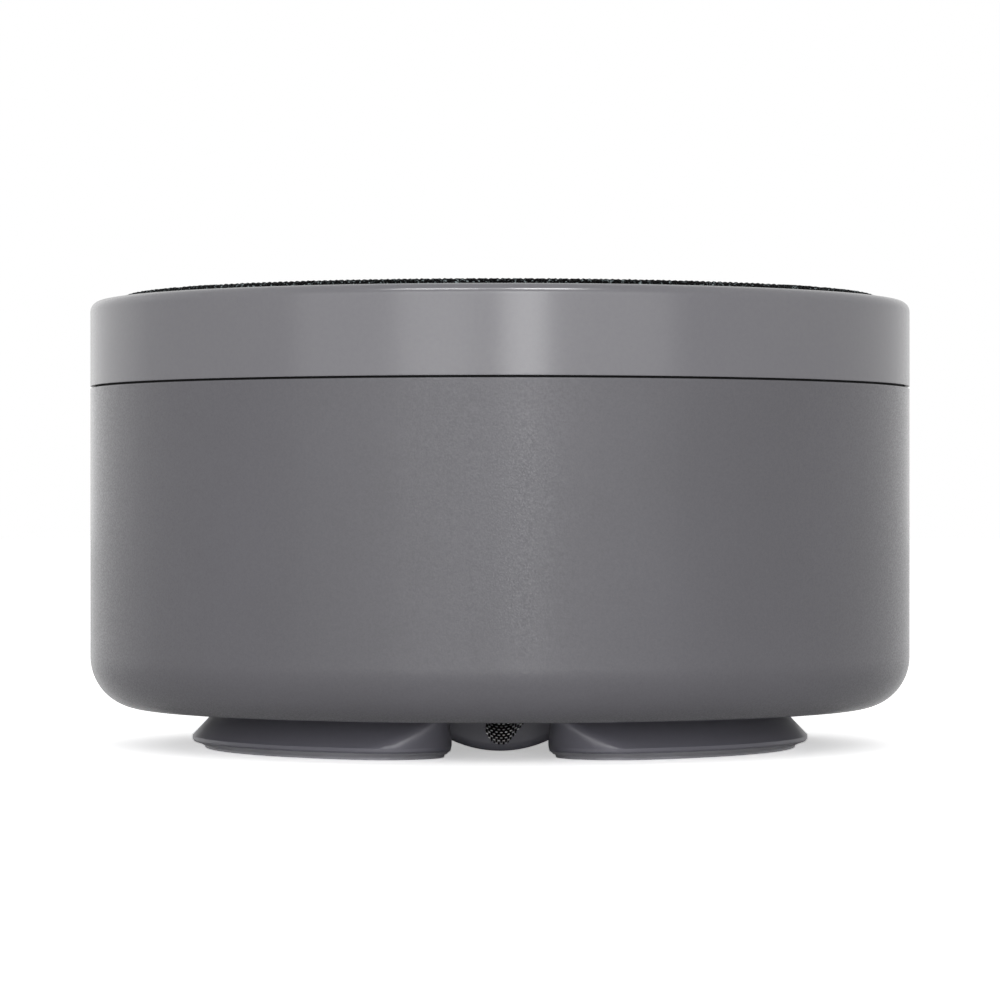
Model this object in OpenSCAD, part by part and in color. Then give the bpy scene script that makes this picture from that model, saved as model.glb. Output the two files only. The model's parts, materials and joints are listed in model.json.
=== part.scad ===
// Compact table-top smart speaker. A cup-shaped body carries a satin top ring
// with a cloth-covered grille. A small full-range driver plays up through the
// grille, and a bass port opens between three flared feet.
// Millimetres, +Z up, floor at Z = 0, front towards -Y.

/* [Housing] */
// Outer diameter of the body shell and of the top ring
body_d = 100; // [99:0.5:108]
// Wall thickness of the body shell
shell_wall = 2.2; // [1.8:0.1:2.4]
// Height of the body shell from its underside to its rim
shell_h = 38.8; // [38:0.1:44]
// Outer radius between the side and the underside of the shell
shell_fillet = 6.25; // [5:0.25:9]
// Radius of the fine edge rounding on both sides of the seam
edge_r = 0.2; // [0.1:0.05:0.4]
// Visible gap of the seam between shell and ring
seam_gap = 0.25; // [0.15:0.05:0.6]

/* [Top ring] */
// Height of the visible band of the ring
ring_h = 10.3; // [10:0.1:13]
// Wall thickness of the ring
ring_wall = 3; // [2.6:0.1:3.2]
// Width of the ring's flat top, from its outer edge to the cloth
land_w = 3.7; // [3.4:0.05:4.2]
// Radius of the outer top edge of the ring
ring_fillet = 1.25; // [0.6:0.05:2]
// Length of the spigot that enters the body shell
spigot_l = 3.4; // [3:0.1:4]
// Wall thickness of the spigot
spigot_wall = 1.4; // [1.2:0.1:1.5]
// Depth of the grille seat below the top of the ring
seat_drop = 1.25; // [1:0.05:1.5]
// Thickness of the ledge that carries the grille
ledge_t = 1.6; // [1.2:0.1:2]
// Number of snap fingers cut into the spigot
finger_count = 6; // [4:1:9]

/* [Grille and cloth] */
// Thickness of the acoustic cloth with its foam backing
cloth_t = 0.75; // [0.7:0.05:1.3]
// Thickness of the perforated grille plate
grille_t = 1.2; // [1:0.1:1.4]
// Diameter of one sound hole
sound_hole_d = 3; // [2:0.1:3.6]
// Distance between neighbouring rings of sound holes
sound_hole_pitch = 5; // [4.6:0.1:5.2]
// Least width of the plain rim round the sound holes
grille_rim = 2.5; // [2:0.5:4]

/* [Feet] */
// Clear height between the floor and the underside of the body
foot_h = 4.8; // [4.6:0.1:6]
// Distance from the side of the body in to the top of a foot
foot_inset = 15.6; // [14.6:0.1:16.2]
// Distance by which the lip of a foot stands out from its top
foot_flare = 3.2; // [2.8:0.1:3.6]
// Radial width of a foot where it meets the body
foot_w = 14.4; // [13:0.2:14.8]
// Width of the gap between two feet
foot_gap = 11.4; // [10:0.2:14]
// Height of the lip's lower edge above the floor
lip_z = 0.95; // [0.9:0.05:1.2]
// Thickness of the lip at its edge
lip_t = 0.5; // [0.3:0.05:0.6]
// Plan radius of a foot's corners at the body
corner_top_r = 1.6; // [1.2:0.2:3.6]
// Plan radius of a foot's corners at the lip
corner_lip_r = 7.2; // [7:0.2:9]
// Height of the rubber pad that shows under the foot
pad_show = 0.4; // [0.3:0.05:0.5]
// Thickness of the rubber pad
pad_t = 1.6; // [1.4:0.1:1.8]
// Distance from the lip of the foot in to the pad
pad_inset = 1.5; // [1.3:0.1:1.9]
// Distance from the gap between two feet in to the pad
pad_side_inset = 0.8; // [0.7:0.05:1]
// Plan radius of the pad's corners
pad_corner_r = 7; // [6:0.25:8]

/* [Bass port] */
// Radius of the round belly of the port pod
pod_r = 13.75; // [13:0.25:15]
// Clearance between the port pod and the floor
pod_floor_gap = 0.2; // [0.2:0.1:0.8]
// Clearance between the front corners of the pod and the feet
pod_clear = 0.15; // [0.1:0.05:1.5]
// Distance from the middle of the speaker to the back of the pod
pod_back = 9; // [8:0.5:12]
// Wall thickness of the pod
pod_wall = 0.7; // [0.6:0.1:1]
// Inner radius of the bass port tube
port_r = 4; // [3:0.25:4.25]
// Wall thickness of the bass port tube
port_wall = 1; // [0.8:0.1:1.2]
// Height of the flared inner end of the port above the chamber floor
port_rise = 4.5; // [3:0.5:5]

/* [Driver] */
// Radial width of the driver's mounting flange
flange_w = 6; // [5.8:0.1:6.6]
// Thickness of the flange
flange_t = 1.2; // [1:0.1:1.5]
// Radius of the cone at its rim
cone_r = 18.6; // [18:0.1:19]
// Depth of the cone from rim to neck
cone_depth = 6.5; // [6:0.1:7]
// Travel of the cone each way from rest
cone_travel = 1.5; // [1:0.1:1.8]
// Radius of the half roll of the surround
roll_r = 2.2; // [1.8:0.1:2.3]
// Inner radius of the voice coil former
former_r = 7.6; // [7.2:0.1:7.8]
// Radial gap on each side of the voice coil
coil_gap = 0.4; // [0.3:0.05:0.5]
// Outer radius of the magnet
magnet_r = 20; // [18:0.5:20]
// Height of the magnet
magnet_h = 7; // [6:0.5:7]
// Thickness of the steel top plate of the magnet system
top_plate_t = 3; // [2.5:0.25:3.5]
// Thickness of the steel back plate of the magnet system
back_plate_t = 3; // [2:0.25:3]

/* [Chamber] */
// Space between the speaker chamber and the wall of the body
chamber_gap = 9.2; // [9:0.1:9.6]
// Wall thickness of the chamber
chamber_wall = 1.8; // [1.5:0.1:2]
// Height of the space under the chamber that holds the electronics
base_space = 6.9; // [6.7:0.1:7.2]
// Thickness of the baffle that carries the driver
baffle_t = 2.4; // [2:0.1:2.6]

/* [Electronics] */
// Space between the main board and the wall of the body
board_gap = 10.4; // [10:0.1:10.6]
// Thickness of the main board
board_t = 1.6; // [1.2:0.1:1.6]
// Height of the posts that carry the main board
post_h = 3.3; // [3.2:0.1:3.4]
// Thickness of the steel ballast ring
ballast_t = 1.8; // [1.5:0.1:1.9]
// Width of the power inlet
inlet_w = 8.94; // [8.94:0.01:9.2]
// Height of the power inlet
inlet_h = 3.26; // [3.16:0.02:3.4]
// Distance of the inlet and of the mute switch from the middle plane
inlet_x = 9; // [8.5:0.25:10]
// Travel of the mute switch
mute_travel = 2; // [1.5:0.1:2.5]

/* [Hidden] */

$fn = 96;
eps = 0.01;

// Clearances
slip = 0.2;        // between moulded parts that slide together
snug = 0.1;        // between parts that are located in each other
glue = 0.05;       // thickness of a glue line
screw_clear = 0.2; // round a screw's shank
thread_clear = 0.05; // round a screw's thread in its post

// Heights of the housing
under_z = foot_h;
floor_z = under_z + shell_wall;
rim_z = under_z + shell_h;
ring_z = rim_z + seam_gap;
ring_top = ring_z + ring_h;
seat_z = ring_top - seat_drop;
ledge_z = seat_z - ledge_t;
grille_top = seat_z + grille_t;
cloth_z = grille_top + glue;

// Radii of the housing
body_r = body_d / 2;
shell_in_r = body_r - shell_wall;
spigot_r = shell_in_r - slip;
spigot_in_r = spigot_r - spigot_wall;
cloth_r = body_r - land_w;
seat_r = cloth_r + 0.15;
ledge_r = cloth_r - 2.1;
skirt_t = 0.7;
grille_r = cloth_r - skirt_t - glue;
sound_hole_rings = floor((grille_r - grille_rim - sound_hole_d / 2) / sound_hole_pitch);
bead_h = 0.4;
bead_w = 0.7;
bead_z = ring_z - spigot_l + 0.9;

// Opening and bottom cover
foot_top_r = body_r - foot_inset;
foot_lip_r = foot_top_r + foot_flare;
foot_inner_r = foot_top_r - foot_w;
rebate_t = shell_wall / 2;
opening_r = foot_inner_r + 4;
cover_r = foot_top_r - 1.4;
cover_wall = 1.6;
cover_rib_at = 9;
cover_rib_t = 1.2;
foot_angles = [210, 330, 90];
gap_draft = 0.4; // by which a foot's walls lean away from the gap
rim_w = 0.35;    // of the foot's rim round its pad
base_screw_at = foot_top_r - 5.9;
base_screw_r = 1.2;
base_head_r = 2.3;
base_head_h = 1.6;

// Bass port
port_out_r = port_r + port_wall;
pod_axis_z = pod_r + pod_floor_gap;
pod_half_w = sqrt(pow(pod_r, 2) - pow(pod_axis_z - under_z, 2));
pod_front = sqrt(pow(foot_inner_r - pod_clear, 2) - pow(pod_half_w, 2));
pod_end_r = 1;
collar_wall = 1;
collar_top = floor_z + 0.9;
port_set_back = 5; // from the pod's front to the port's collar
port_y = port_out_r + collar_wall + port_set_back - pod_front;
mouth_r = 1.9;
mouth_x = 0.15;
mouth_z = under_z - mouth_r;
mouth_tip_r = 0.3;
mouth_tip_x = 3.1;
mouth_tip_z = under_z - 2 * mouth_tip_r;

// Chamber and baffle
chamber_r = shell_in_r - chamber_gap;
chamber_z = floor_z + base_space;
baffle_top = rim_z + 2;
baffle_z = baffle_top - baffle_t;
baffle_r = spigot_in_r - 0.3;
chamber_in_r = chamber_r - chamber_wall;
rim_flange_r = chamber_r + 2;
seal_t = 0.4;
cup_top = baffle_z - seal_t;
boss_h = 4;
boss_r = 2;
shell_post_at = shell_in_r - 5.2;
shell_post_r = 2.9;
shell_bite = 7;
shell_post_angles = [30, 150, 270];
cup_post_r = 2.2;
cup_post_h = 8;
cup_bite = 6;
cup_rib_d = 1.2;
cup_post_at = chamber_r + 0.4;
cup_post_angles = [45, 135, 225, 315];
small_screw_r = 0.95;
small_head_r = 1.9;
small_head_h = 1.3;

// Driver
gasket_t = 0.8;
flange_z = baffle_top + gasket_t;
flange_top = flange_z + flange_t;
flange_in_r = cone_r + 2 * roll_r - 0.4;
flange_r = flange_in_r + flange_w;
driver_hole_r = flange_in_r + 2;
driver_screw_at = flange_r - 1.9;
basket_t = 1.5;
basket_floor_r = magnet_r - 0.3;
basket_window_w = 17;
paper_t = 0.5;
rim_z_cone = flange_top + 0.1;
neck_z = rim_z_cone - cone_depth;
former_t = 0.25;
former_out_r = former_r + former_t;
winding_t = 0.4;
winding_r = former_out_r + glue + winding_t;
basket_floor_z = neck_z - 4.1;
basket_floor_t = 1.2;
plate_z = basket_floor_z - top_plate_t;
magnet_z = plate_z - magnet_h;
yoke_z = magnet_z - back_plate_t;
pole_r = former_r - coil_gap;
plate_hole_r = winding_r + coil_gap;
magnet_in_r = plate_hole_r + 2.3;
winding_h = top_plate_t + 2 * cone_travel;
winding_z = plate_z + top_plate_t / 2 - winding_h / 2;
spider_seat_z = basket_floor_z + basket_floor_t + 1.4;
spider_seat_r = basket_floor_r - 3.9;
spider_t = 0.4;
cap_r = 12;
cap_base_r = 9;
cap_t = 0.4;
surround_t = 0.4;

// Electronics
board_r = shell_in_r - board_gap;
board_z = floor_z + post_h;
board_top = board_z + board_t;
post_at = board_r - 2.5;
post_r = 2.2;
post_angles = [55, 125, 235, 305];
tab_w = 36;
tab_y = shell_in_r - 2.2;
ballast_in_r = opening_r + 0.3;
ballast_r = post_at - post_r - 0.5;
inlet_z = board_top + inlet_h / 2;
stem_w = 1.6;
stem_h = 1.2;
knob_w = 3.6;
knob_h = 2.4;
knob_out = body_r - 0.35;
mute_z = board_top + 1.8;
mute_box_w = 9;
mute_box_h = 3.6;
mute_box_y = tab_y - 4.2;
mute_box_d = 4;
chip_w = 7.5;
chip_d = 9;
chip_h = 1.2;
coil_w = 5;
coil_h = 2.6;
can_w = 16;
can_d = 18;
can_h = 1.5;
can_t = 0.3;
can_x = -18;
can_y = 8;
ribbon_x = -(rim_flange_r + 0.4);
ribbon_t = 0.2;
ribbon_w = 10;
socket_d = 3.4;
low_socket_h = 1;
high_socket_d = 2.8;
high_socket_h = 1.6;
antenna_t = 0.3;
antenna_h = 9;
antenna_rise = 8;
antenna_arc = 26;
mic_board_t = 1;
mic_board_z = ledge_z - mic_board_t;
mic_board_r = ledge_r + 1.8;
mic_board_in_r = mic_board_r - 12;
mic_at = ledge_r - 4.2;
mic_angles = [30, 120, 210, 300];
light_at = mic_at;
light_angles = [252, 264, 276, 288];
mic_screw_at = ledge_r + 0.9;
mic_screw_angles = [45, 135, 225, 315];
wire_x = flange_r - 1.6;
wire_r = 0.6;
wire_spread = 1.6;
terminal_z = basket_floor_z + 2.5;
terminal_t = 1.2;
terminal_w = 6.8;
rib_t = 1;

// ---- Helpers ----

// Repeats its children at each angle, turned about Z.
module at_angles(angles) {
  for (a = angles) rotate([0, 0, a]) children();
}

// A tube about Z from height z with its height, outer and inner radius.
module tube(z, h, r_out, r_in) {
  translate([0, 0, z]) linear_extrude(h) difference() {
    circle(r_out);
    circle(r_in);
  }
}

// A plain round bar about Z.
module bar(z, h, r) {
  translate([0, 0, z]) cylinder(h = h, r = r);
}

// A block centred in X and Y, standing on height z.
module block(w, d, z, h) {
  translate([-w / 2, -d / 2, z]) cube([w, d, h]);
}

// The sliver that a fillet of radius r takes from a square corner.
// The corner is at the origin and the material lies towards (sx, sy).
module spandrel(r, sx, sy) {
  difference() {
    translate([sx < 0 ? -r : -eps, sy < 0 ? -r : -eps]) square(r + eps);
    translate([sx * r, sy * r]) circle(r);
  }
}

// A rectangle from (x0, y0) to (x1, y1).
module rect(x0, y0, x1, y1) {
  translate([x0, y0]) square([x1 - x0, y1 - y0]);
}

// A pan-head screw whose seat is at height z, head up, shank down.
module screw_down(z, shank_r, shank_l, head_r, head_h) {
  difference() {
    bar(z, head_h, head_r);
    block(head_r * 1.4, 0.5, z + head_h * 0.55, head_h);
    block(0.5, head_r * 1.4, z + head_h * 0.55, head_h);
  }
  bar(z - shank_l, shank_l + eps, shank_r);
}

// ---- Housing ----

module shell_profile() {
  inner_fillet = max(shell_fillet - shell_wall, 1);
  difference() {
    rect(0, under_z, body_r, rim_z);
    translate([body_r, under_z]) spandrel(shell_fillet, -1, 1);
    translate([body_r, rim_z]) spandrel(edge_r, -1, -1);
    difference() {
      rect(-1, floor_z, shell_in_r, rim_z + 1);
      translate([shell_in_r, floor_z]) spandrel(inner_fillet, -1, 1);
    }
    rect(-1, under_z - 1, opening_r, floor_z + 1);
    rect(-1, under_z - 1, cover_r + slip, under_z + rebate_t);
    rect(shell_in_r - 1, bead_z - slip, shell_in_r + bead_h, bead_z + bead_w + slip);
  }
}

// A hollow post on the shell's floor, tied to the wall by a web.
module shell_post() {
  top = baffle_z;
  translate([shell_post_at, 0, 0]) difference() {
    bar(floor_z - eps, top - floor_z + eps, shell_post_r);
    bar(top - shell_bite - 2, shell_bite + 2 + eps, small_screw_r + thread_clear);
  }
  difference() {
    translate([shell_post_at + shell_post_r - 0.4, -0.8, floor_z - eps])
      cube([shell_in_r - shell_post_at - shell_post_r + 0.7, 1.6, rim_z - floor_z - 8]);
    bar(0, rim_z, shell_post_at + shell_post_r - 0.4);
  }
}

module board_post() {
  translate([post_at, 0, 0]) difference() {
    bar(floor_z - eps, post_h + eps, post_r);
    bar(floor_z + 0.4, post_h, small_screw_r + thread_clear);
  }
}

// The rounded slot in the wall round the power inlet.
module inlet_cutout() {
  r = inlet_h / 2 + slip;
  flat = (inlet_w - inlet_h) / 2;
  translate([-inlet_x, 0, inlet_z]) rotate([-90, 0, 0]) linear_extrude(body_r + 1) union() {
    for (s = [-1, 1]) translate([s * flat, 0]) circle(r);
    rect(-flat, -r, flat, r);
  }
}

module mute_cutout() {
  w = knob_w + mute_travel + 2 * 0.35;
  h = knob_h + 2 * 0.35;
  translate([inlet_x - w / 2, tab_y - 4, mute_z - h / 2]) cube([w, body_r, h]);
}

module body_shell() {
  color("#6f6f74") difference() {
    union() {
      rotate_extrude() shell_profile();
      at_angles(shell_post_angles) shell_post();
      at_angles(post_angles) board_post();
    }
    translate([0, tab_y - 6, 0]) inlet_cutout();
    mute_cutout();
    at_angles(foot_angles) translate([base_screw_at, 0, 0])
      bar(under_z, shell_wall * 2, base_screw_r + screw_clear);
  }
}

module ring_profile() {
  difference() {
    union() {
      rect(body_r - ring_wall, ring_z, body_r, ring_top);
      rect(ledge_r, ledge_z, body_r - 1, seat_z);
      rect(seat_r, ledge_z, body_r - 1, ring_top);
      rect(spigot_in_r, ring_z - spigot_l, spigot_r, ring_z + 2.2);
    }
    translate([body_r, ring_top]) spandrel(ring_fillet, -1, -1);
    translate([body_r, ring_z]) spandrel(edge_r, -1, 1);
    translate([seat_r, ring_top]) spandrel(edge_r, 1, -1);
  }
}

module top_ring() {
  finger = 360 / finger_count;
  slit = 1.2;
  color("#8b8b90") union() {
    difference() {
      rotate_extrude() ring_profile();
      for (i = [0:finger_count - 1]) rotate([0, 0, (i + 0.5) * finger])
        translate([spigot_in_r - 1, -slit / 2, ring_z - spigot_l - 1])
          cube([spigot_wall + 2, slit, spigot_l + 0.6]);
      at_angles(mic_screw_angles) translate([mic_screw_at, 0, 0])
        bar(ledge_z - eps, ledge_t - 0.3, small_screw_r - 0.3 + thread_clear);
    }
    // Snap beads on the fingers
    for (i = [0:finger_count - 1]) rotate([0, 0, i * finger - 9])
      rotate_extrude(angle = 18) rect(spigot_r - 0.5, bead_z, spigot_r + bead_h, bead_z + bead_w);
  }
}

module seam_gasket() {
  color("#161618") tube(rim_z, seam_gap, body_r - 0.6, shell_in_r + 0.3);
}

module grille_plate() {
  color("#1d1e20") union() {
    translate([0, 0, seat_z]) linear_extrude(grille_t) difference() {
      circle(grille_r);
      circle(d = sound_hole_d, $fn = 24);
      for (ring = [1:sound_hole_rings]) for (k = [0:6 * ring - 1])
        rotate(k * 60 / ring + 15 * (ring % 2)) translate([ring * sound_hole_pitch, 0])
          circle(d = sound_hole_d, $fn = 24);
    }
    // Stiffening ribs between the sound holes
    for (k = [1.5, 5.5]) tube(seat_z - rib_t, rib_t + eps,
      k * sound_hole_pitch + rib_t / 2, k * sound_hole_pitch - rib_t / 2);
  }
}

module top_cloth() {
  crown = min(cloth_t * 0.85, 0.8);
  color("#17191a") rotate_extrude() difference() {
    rect(0, seat_z + glue, cloth_r, cloth_z + cloth_t);
    rect(-1, 0, cloth_r - skirt_t, cloth_z);
    translate([cloth_r, cloth_z + cloth_t]) spandrel(crown, -1, -1);
  }
}

// ---- Base ----

module bottom_cover() {
  color("#3b3b3f") difference() {
    union() {
      bar(under_z, rebate_t, cover_r);
      tube(under_z, shell_wall + 0.4, opening_r - slip, opening_r - slip - cover_wall);
      at_angles([0:60:300]) translate([cover_rib_at, -cover_rib_t / 2, under_z + eps])
        cube([opening_r - cover_rib_at - cover_wall / 2, cover_rib_t, shell_wall]);
      translate([0, port_y, 0]) bar(under_z, rebate_t + 1, port_out_r + collar_wall + 1.2);
    }
    translate([0, port_y, 0])
      bar(under_z - 1, shell_wall * 2 + 1, port_out_r + collar_wall + 2 * snug);
    at_angles(foot_angles) translate([base_screw_at, 0, 0])
      bar(under_z - 1, shell_wall * 2 + 1, base_screw_r + screw_clear);
  }
}

// Plan of one foot, centred on +X: a slice of a disc between two gaps, with
// its two outer corners rounded.
module foot_plan(r_out, corner, half_gap) {
  v = half_gap + corner;
  u = sqrt(pow(r_out - corner, 2) - v * v);
  tip = half_gap / sin(60);
  far = 2 * r_out;
  difference() {
    circle(r_out);
    for (s = [-1, 1]) mirror([0, s < 0 ? 1 : 0]) rotate(60) {
      // beyond the gap's wall
      rect(-far, -half_gap, far, far);
      // the square corner outside the rounding
      difference() {
        polygon([[u, -v], [u, far], [far, far], [far, -v * far / u]]);
        translate([u, -v]) circle(corner);
      }
    }
    rect(-far, -far, tip, far);
  }
}

module foot(angle) {
  half_gap = foot_gap / 2;
  pocket_top = pad_t + glue;
  head_top = pocket_top + base_head_h + glue;
  thin = 0.05;
  rotate([0, 0, angle]) difference() {
    union() {
      hull() {
        translate([0, 0, under_z - thin]) linear_extrude(thin)
          foot_plan(foot_top_r, corner_top_r, half_gap + gap_draft);
        translate([0, 0, lip_z]) linear_extrude(lip_t)
          foot_plan(foot_lip_r, corner_lip_r, half_gap);
      }
      hull() {
        translate([0, 0, lip_z + eps]) linear_extrude(thin)
          foot_plan(foot_lip_r - eps, corner_lip_r - eps, half_gap + eps);
        translate([0, 0, pad_show + glue]) linear_extrude(thin)
          foot_plan(foot_lip_r - pad_inset + rim_w, pad_corner_r + rim_w,
            half_gap + pad_side_inset - rim_w);
      }
    }
    bar(-1, under_z + 2, foot_inner_r);
    translate([0, 0, -1]) linear_extrude(pocket_top + 1) difference() {
      foot_plan(foot_lip_r - pad_inset + snug, pad_corner_r + snug,
        half_gap + pad_side_inset - snug);
      circle(foot_inner_r + pad_inset - snug);
    }
    translate([base_screw_at, 0, 0]) {
      bar(0, head_top, base_head_r + screw_clear);
      bar(0, under_z + 1, base_screw_r + screw_clear);
    }
  }
}

module foot_pad(angle) {
  rotate([0, 0, angle]) linear_extrude(pad_t) difference() {
    foot_plan(foot_lip_r - pad_inset, pad_corner_r, foot_gap / 2 + pad_side_inset);
    circle(foot_inner_r + pad_inset);
  }
}

module foot_front_left() {
  color("#46464b") foot(foot_angles[0]);
}

module foot_front_right() {
  color("#46464b") foot(foot_angles[1]);
}

module foot_rear() {
  color("#46464b") foot(foot_angles[2]);
}

module pad_front_left() {
  color("#58585c") foot_pad(foot_angles[0]);
}

module pad_front_right() {
  color("#58585c") foot_pad(foot_angles[1]);
}

module pad_rear() {
  color("#58585c") foot_pad(foot_angles[2]);
}

module base_screws() {
  seat = pad_t + glue + base_head_h + glue;
  color("silver") at_angles(foot_angles) translate([base_screw_at, 0, seat])
    rotate([180, 0, 0]) screw_down(0, base_screw_r, floor_z + ballast_t - seat,
      base_head_r, base_head_h);
}

// ---- Bass port ----

// A barrel lying along Y with rounded ends, shrunk by inset on every side.
module barrel(inset) {
  r = pod_r - inset;
  front = pod_front - inset;
  back = pod_back - inset;
  translate([0, 0, pod_axis_z]) rotate([90, 0, 0]) rotate_extrude() difference() {
    rect(0, -back, r, front);
    translate([r, front]) spandrel(pod_end_r, -1, -1);
    translate([r, -back]) spandrel(pod_end_r, -1, 1);
  }
}

// Outline of the mesh window: a round mouth drawn out to one upper side.
module mouth_plan(inset) {
  hull() {
    translate([mouth_x, mouth_z]) circle(mouth_r - inset, $fn = 32);
    translate([mouth_tip_x, mouth_tip_z]) circle(mouth_tip_r - inset, $fn = 32);
  }
}

module port_pod() {
  color("#4a4a4f") difference() {
    union() {
      intersection() {
        barrel(0);
        block(4 * pod_r, 4 * pod_front, 0, under_z);
      }
      translate([0, port_y, 0])
        tube(under_z - eps, collar_top - under_z, port_out_r + collar_wall, port_out_r + snug);
    }
    intersection() {
      barrel(pod_wall);
      block(4 * pod_r, 4 * pod_front, 0, under_z - 1);
    }
    translate([0, port_y, 0]) bar(under_z - 1.5, 2, port_out_r + snug);
    translate([0, 1 - pod_front + pod_wall, 0]) rotate([90, 0, 0])
      linear_extrude(pod_wall + 2) mouth_plan(0);
  }
}

module port_mesh() {
  color("#2a2a2d") translate([0, pod_wall - pod_front, 0]) rotate([90, 0, 0])
    linear_extrude(pod_wall + 0.3) mouth_plan(glue);
}

module port_tube() {
  top = chamber_z + chamber_wall + port_rise;
  flare = 2;
  color("#202124") translate([0, port_y, 0]) rotate_extrude() difference() {
    union() {
      rect(port_r, under_z - 0.9, port_out_r, top);
      rect(port_r, top - flare, port_out_r + flare - 0.4, top);
    }
    translate([port_out_r + flare, top - flare - 0.4]) circle(flare);
    translate([port_r, top]) spandrel(port_wall - 0.1, 1, -1);
  }
}

// ---- Chamber ----

module baffle() {
  color("#2b2c30") difference() {
    union() {
      bar(baffle_z, baffle_t, baffle_r);
      at_angles(cup_post_angles) translate([driver_screw_at, 0, 0])
        bar(baffle_z - boss_h, boss_h + eps, boss_r);
    }
    bar(baffle_z - boss_h - 1, boss_h + baffle_t + 2, driver_hole_r);
    at_angles(cup_post_angles) translate([driver_screw_at, 0, 0])
      bar(baffle_z - boss_h + 0.6, boss_h + baffle_t, small_screw_r + thread_clear);
    at_angles(cup_post_angles) translate([cup_post_at, 0, 0])
      bar(baffle_z - 1, 5, small_screw_r + screw_clear);
    at_angles(shell_post_angles) translate([shell_post_at, 0, 0])
      bar(baffle_z - 1, 5, small_screw_r + screw_clear);
    translate([ribbon_x - 1.5, -ribbon_w / 2 - 1, baffle_z - 1])
      cube([2.6, ribbon_w + 2, baffle_t + 2]);
  }
}

module chamber_cup() {
  fillet = 4;
  color("#34353a") difference() {
    union() {
      rotate_extrude() difference() {
        union() {
          rect(0, chamber_z, chamber_r, cup_top);
          rect(chamber_r - 1, cup_top - 1.6, rim_flange_r, cup_top);
        }
        translate([chamber_r, chamber_z]) spandrel(fillet, -1, 1);
        difference() {
          rect(-1, chamber_z + chamber_wall, chamber_in_r, cup_top + 1);
          translate([chamber_in_r, chamber_z + chamber_wall]) spandrel(fillet - 1, -1, 1);
        }
      }
      at_angles(cup_post_angles) translate([cup_post_at, 0, 0])
        bar(cup_top - cup_post_h, cup_post_h, cup_post_r);
      at_angles([15:30:345]) translate([chamber_in_r - cup_rib_d, -0.6, chamber_z + fillet + 1])
        cube([cup_rib_d + 0.4, 1.2, cup_top - chamber_z - cup_post_h]);
    }
    at_angles(cup_post_angles) translate([cup_post_at, 0, 0])
      bar(cup_top - cup_bite - 1, cup_bite + 2, small_screw_r + thread_clear);
    at_angles(shell_post_angles) translate([shell_post_at, 0, 0])
      bar(cup_top - 3, 4, shell_post_r + slip);
    translate([0, port_y, 0]) bar(chamber_z - 1, 4, port_out_r + snug);
    translate([wire_x, 0, 0]) bar(chamber_z - 1, 4, 3.2);
  }
}

module chamber_seal() {
  color("#111113") difference() {
    tube(cup_top, seal_t, rim_flange_r - 0.2, chamber_in_r);
    at_angles(cup_post_angles) translate([cup_post_at, 0, 0])
      bar(cup_top - 1, 3, small_screw_r + screw_clear);
    at_angles(shell_post_angles) translate([shell_post_at, 0, 0])
      bar(cup_top - 1, 3, shell_post_r + slip);
  }
}

module baffle_screws() {
  color("silver") at_angles(cup_post_angles) translate([cup_post_at, 0, 0])
    screw_down(baffle_top, small_screw_r, baffle_t + cup_bite, small_head_r, small_head_h);
}

module shell_screws() {
  color("silver") at_angles(shell_post_angles) translate([shell_post_at, 0, 0])
    screw_down(baffle_top, small_screw_r, baffle_t + shell_bite, small_head_r, small_head_h);
}

// ---- Driver ----

module driver_gasket() {
  color("#111113") difference() {
    tube(baffle_top, gasket_t, flange_r, driver_hole_r);
    at_angles(cup_post_angles) translate([driver_screw_at, 0, 0])
      bar(baffle_top - 1, 4, small_screw_r + screw_clear);
  }
}

// Outer radius of the basket's sloping wall at height z.
function basket_r(z) = basket_floor_r +
  (flange_in_r + basket_t - basket_floor_r) * (z - basket_floor_z) / (flange_z - basket_floor_z);

module driver_basket() {
  floor_top = basket_floor_z + basket_floor_t;
  windows = 4;
  color("#2d2e31") difference() {
    rotate_extrude() polygon([
      [flange_in_r, flange_top],
      [flange_in_r, flange_z],
      [basket_r(spider_seat_z) - basket_t, spider_seat_z],
      [spider_seat_r, spider_seat_z],
      [spider_seat_r, floor_top],
      [magnet_in_r, floor_top],
      [magnet_in_r, basket_floor_z],
      [basket_floor_r, basket_floor_z],
      [basket_r(flange_z), flange_z],
      [flange_r, flange_z],
      [flange_r, flange_top]
    ]);
    // Windows between the four arms
    for (i = [0:windows - 1]) rotate([0, 0, i * 360 / windows + 45]) {
      translate([spider_seat_r + 0.7, -basket_window_w / 2, spider_seat_z + 1.2])
        cube([flange_r - spider_seat_r, basket_window_w, flange_z - spider_seat_z - 2.4]);
    }
    at_angles(cup_post_angles) translate([driver_screw_at, 0, 0])
      bar(flange_z - 1, 4, small_screw_r + screw_clear);
  }
}

module driver_screws() {
  color("silver") at_angles(cup_post_angles) translate([driver_screw_at, 0, 0])
    screw_down(flange_top, small_screw_r, flange_t + gasket_t + baffle_t + boss_h - 1.4,
      1.5, small_head_h);
}

module top_plate() {
  color("#a9abad") tube(plate_z, top_plate_t, magnet_r - 1, plate_hole_r);
}

module magnet() {
  color("#2c2d2f") tube(magnet_z, magnet_h, magnet_r, magnet_in_r);
}

module yoke() {
  pole_top = plate_z + top_plate_t + 0.3;
  vent_r = 2;
  color("#9b9da0") rotate_extrude() difference() {
    union() {
      rect(vent_r, yoke_z, magnet_r - 1, magnet_z);
      rect(vent_r, yoke_z, pole_r, pole_top);
    }
    translate([magnet_r - 1, yoke_z]) spandrel(0.8, -1, 1);
    translate([pole_r, pole_top]) spandrel(0.4, -1, -1);
  }
}

module coil_former() {
  color("#b98e4d") tube(winding_z - 0.2, neck_z + 1.2 - winding_z, former_out_r, former_r);
}

module voice_coil() {
  color("#b4622d") tube(winding_z, winding_h, winding_r, former_out_r + glue);
}

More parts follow.
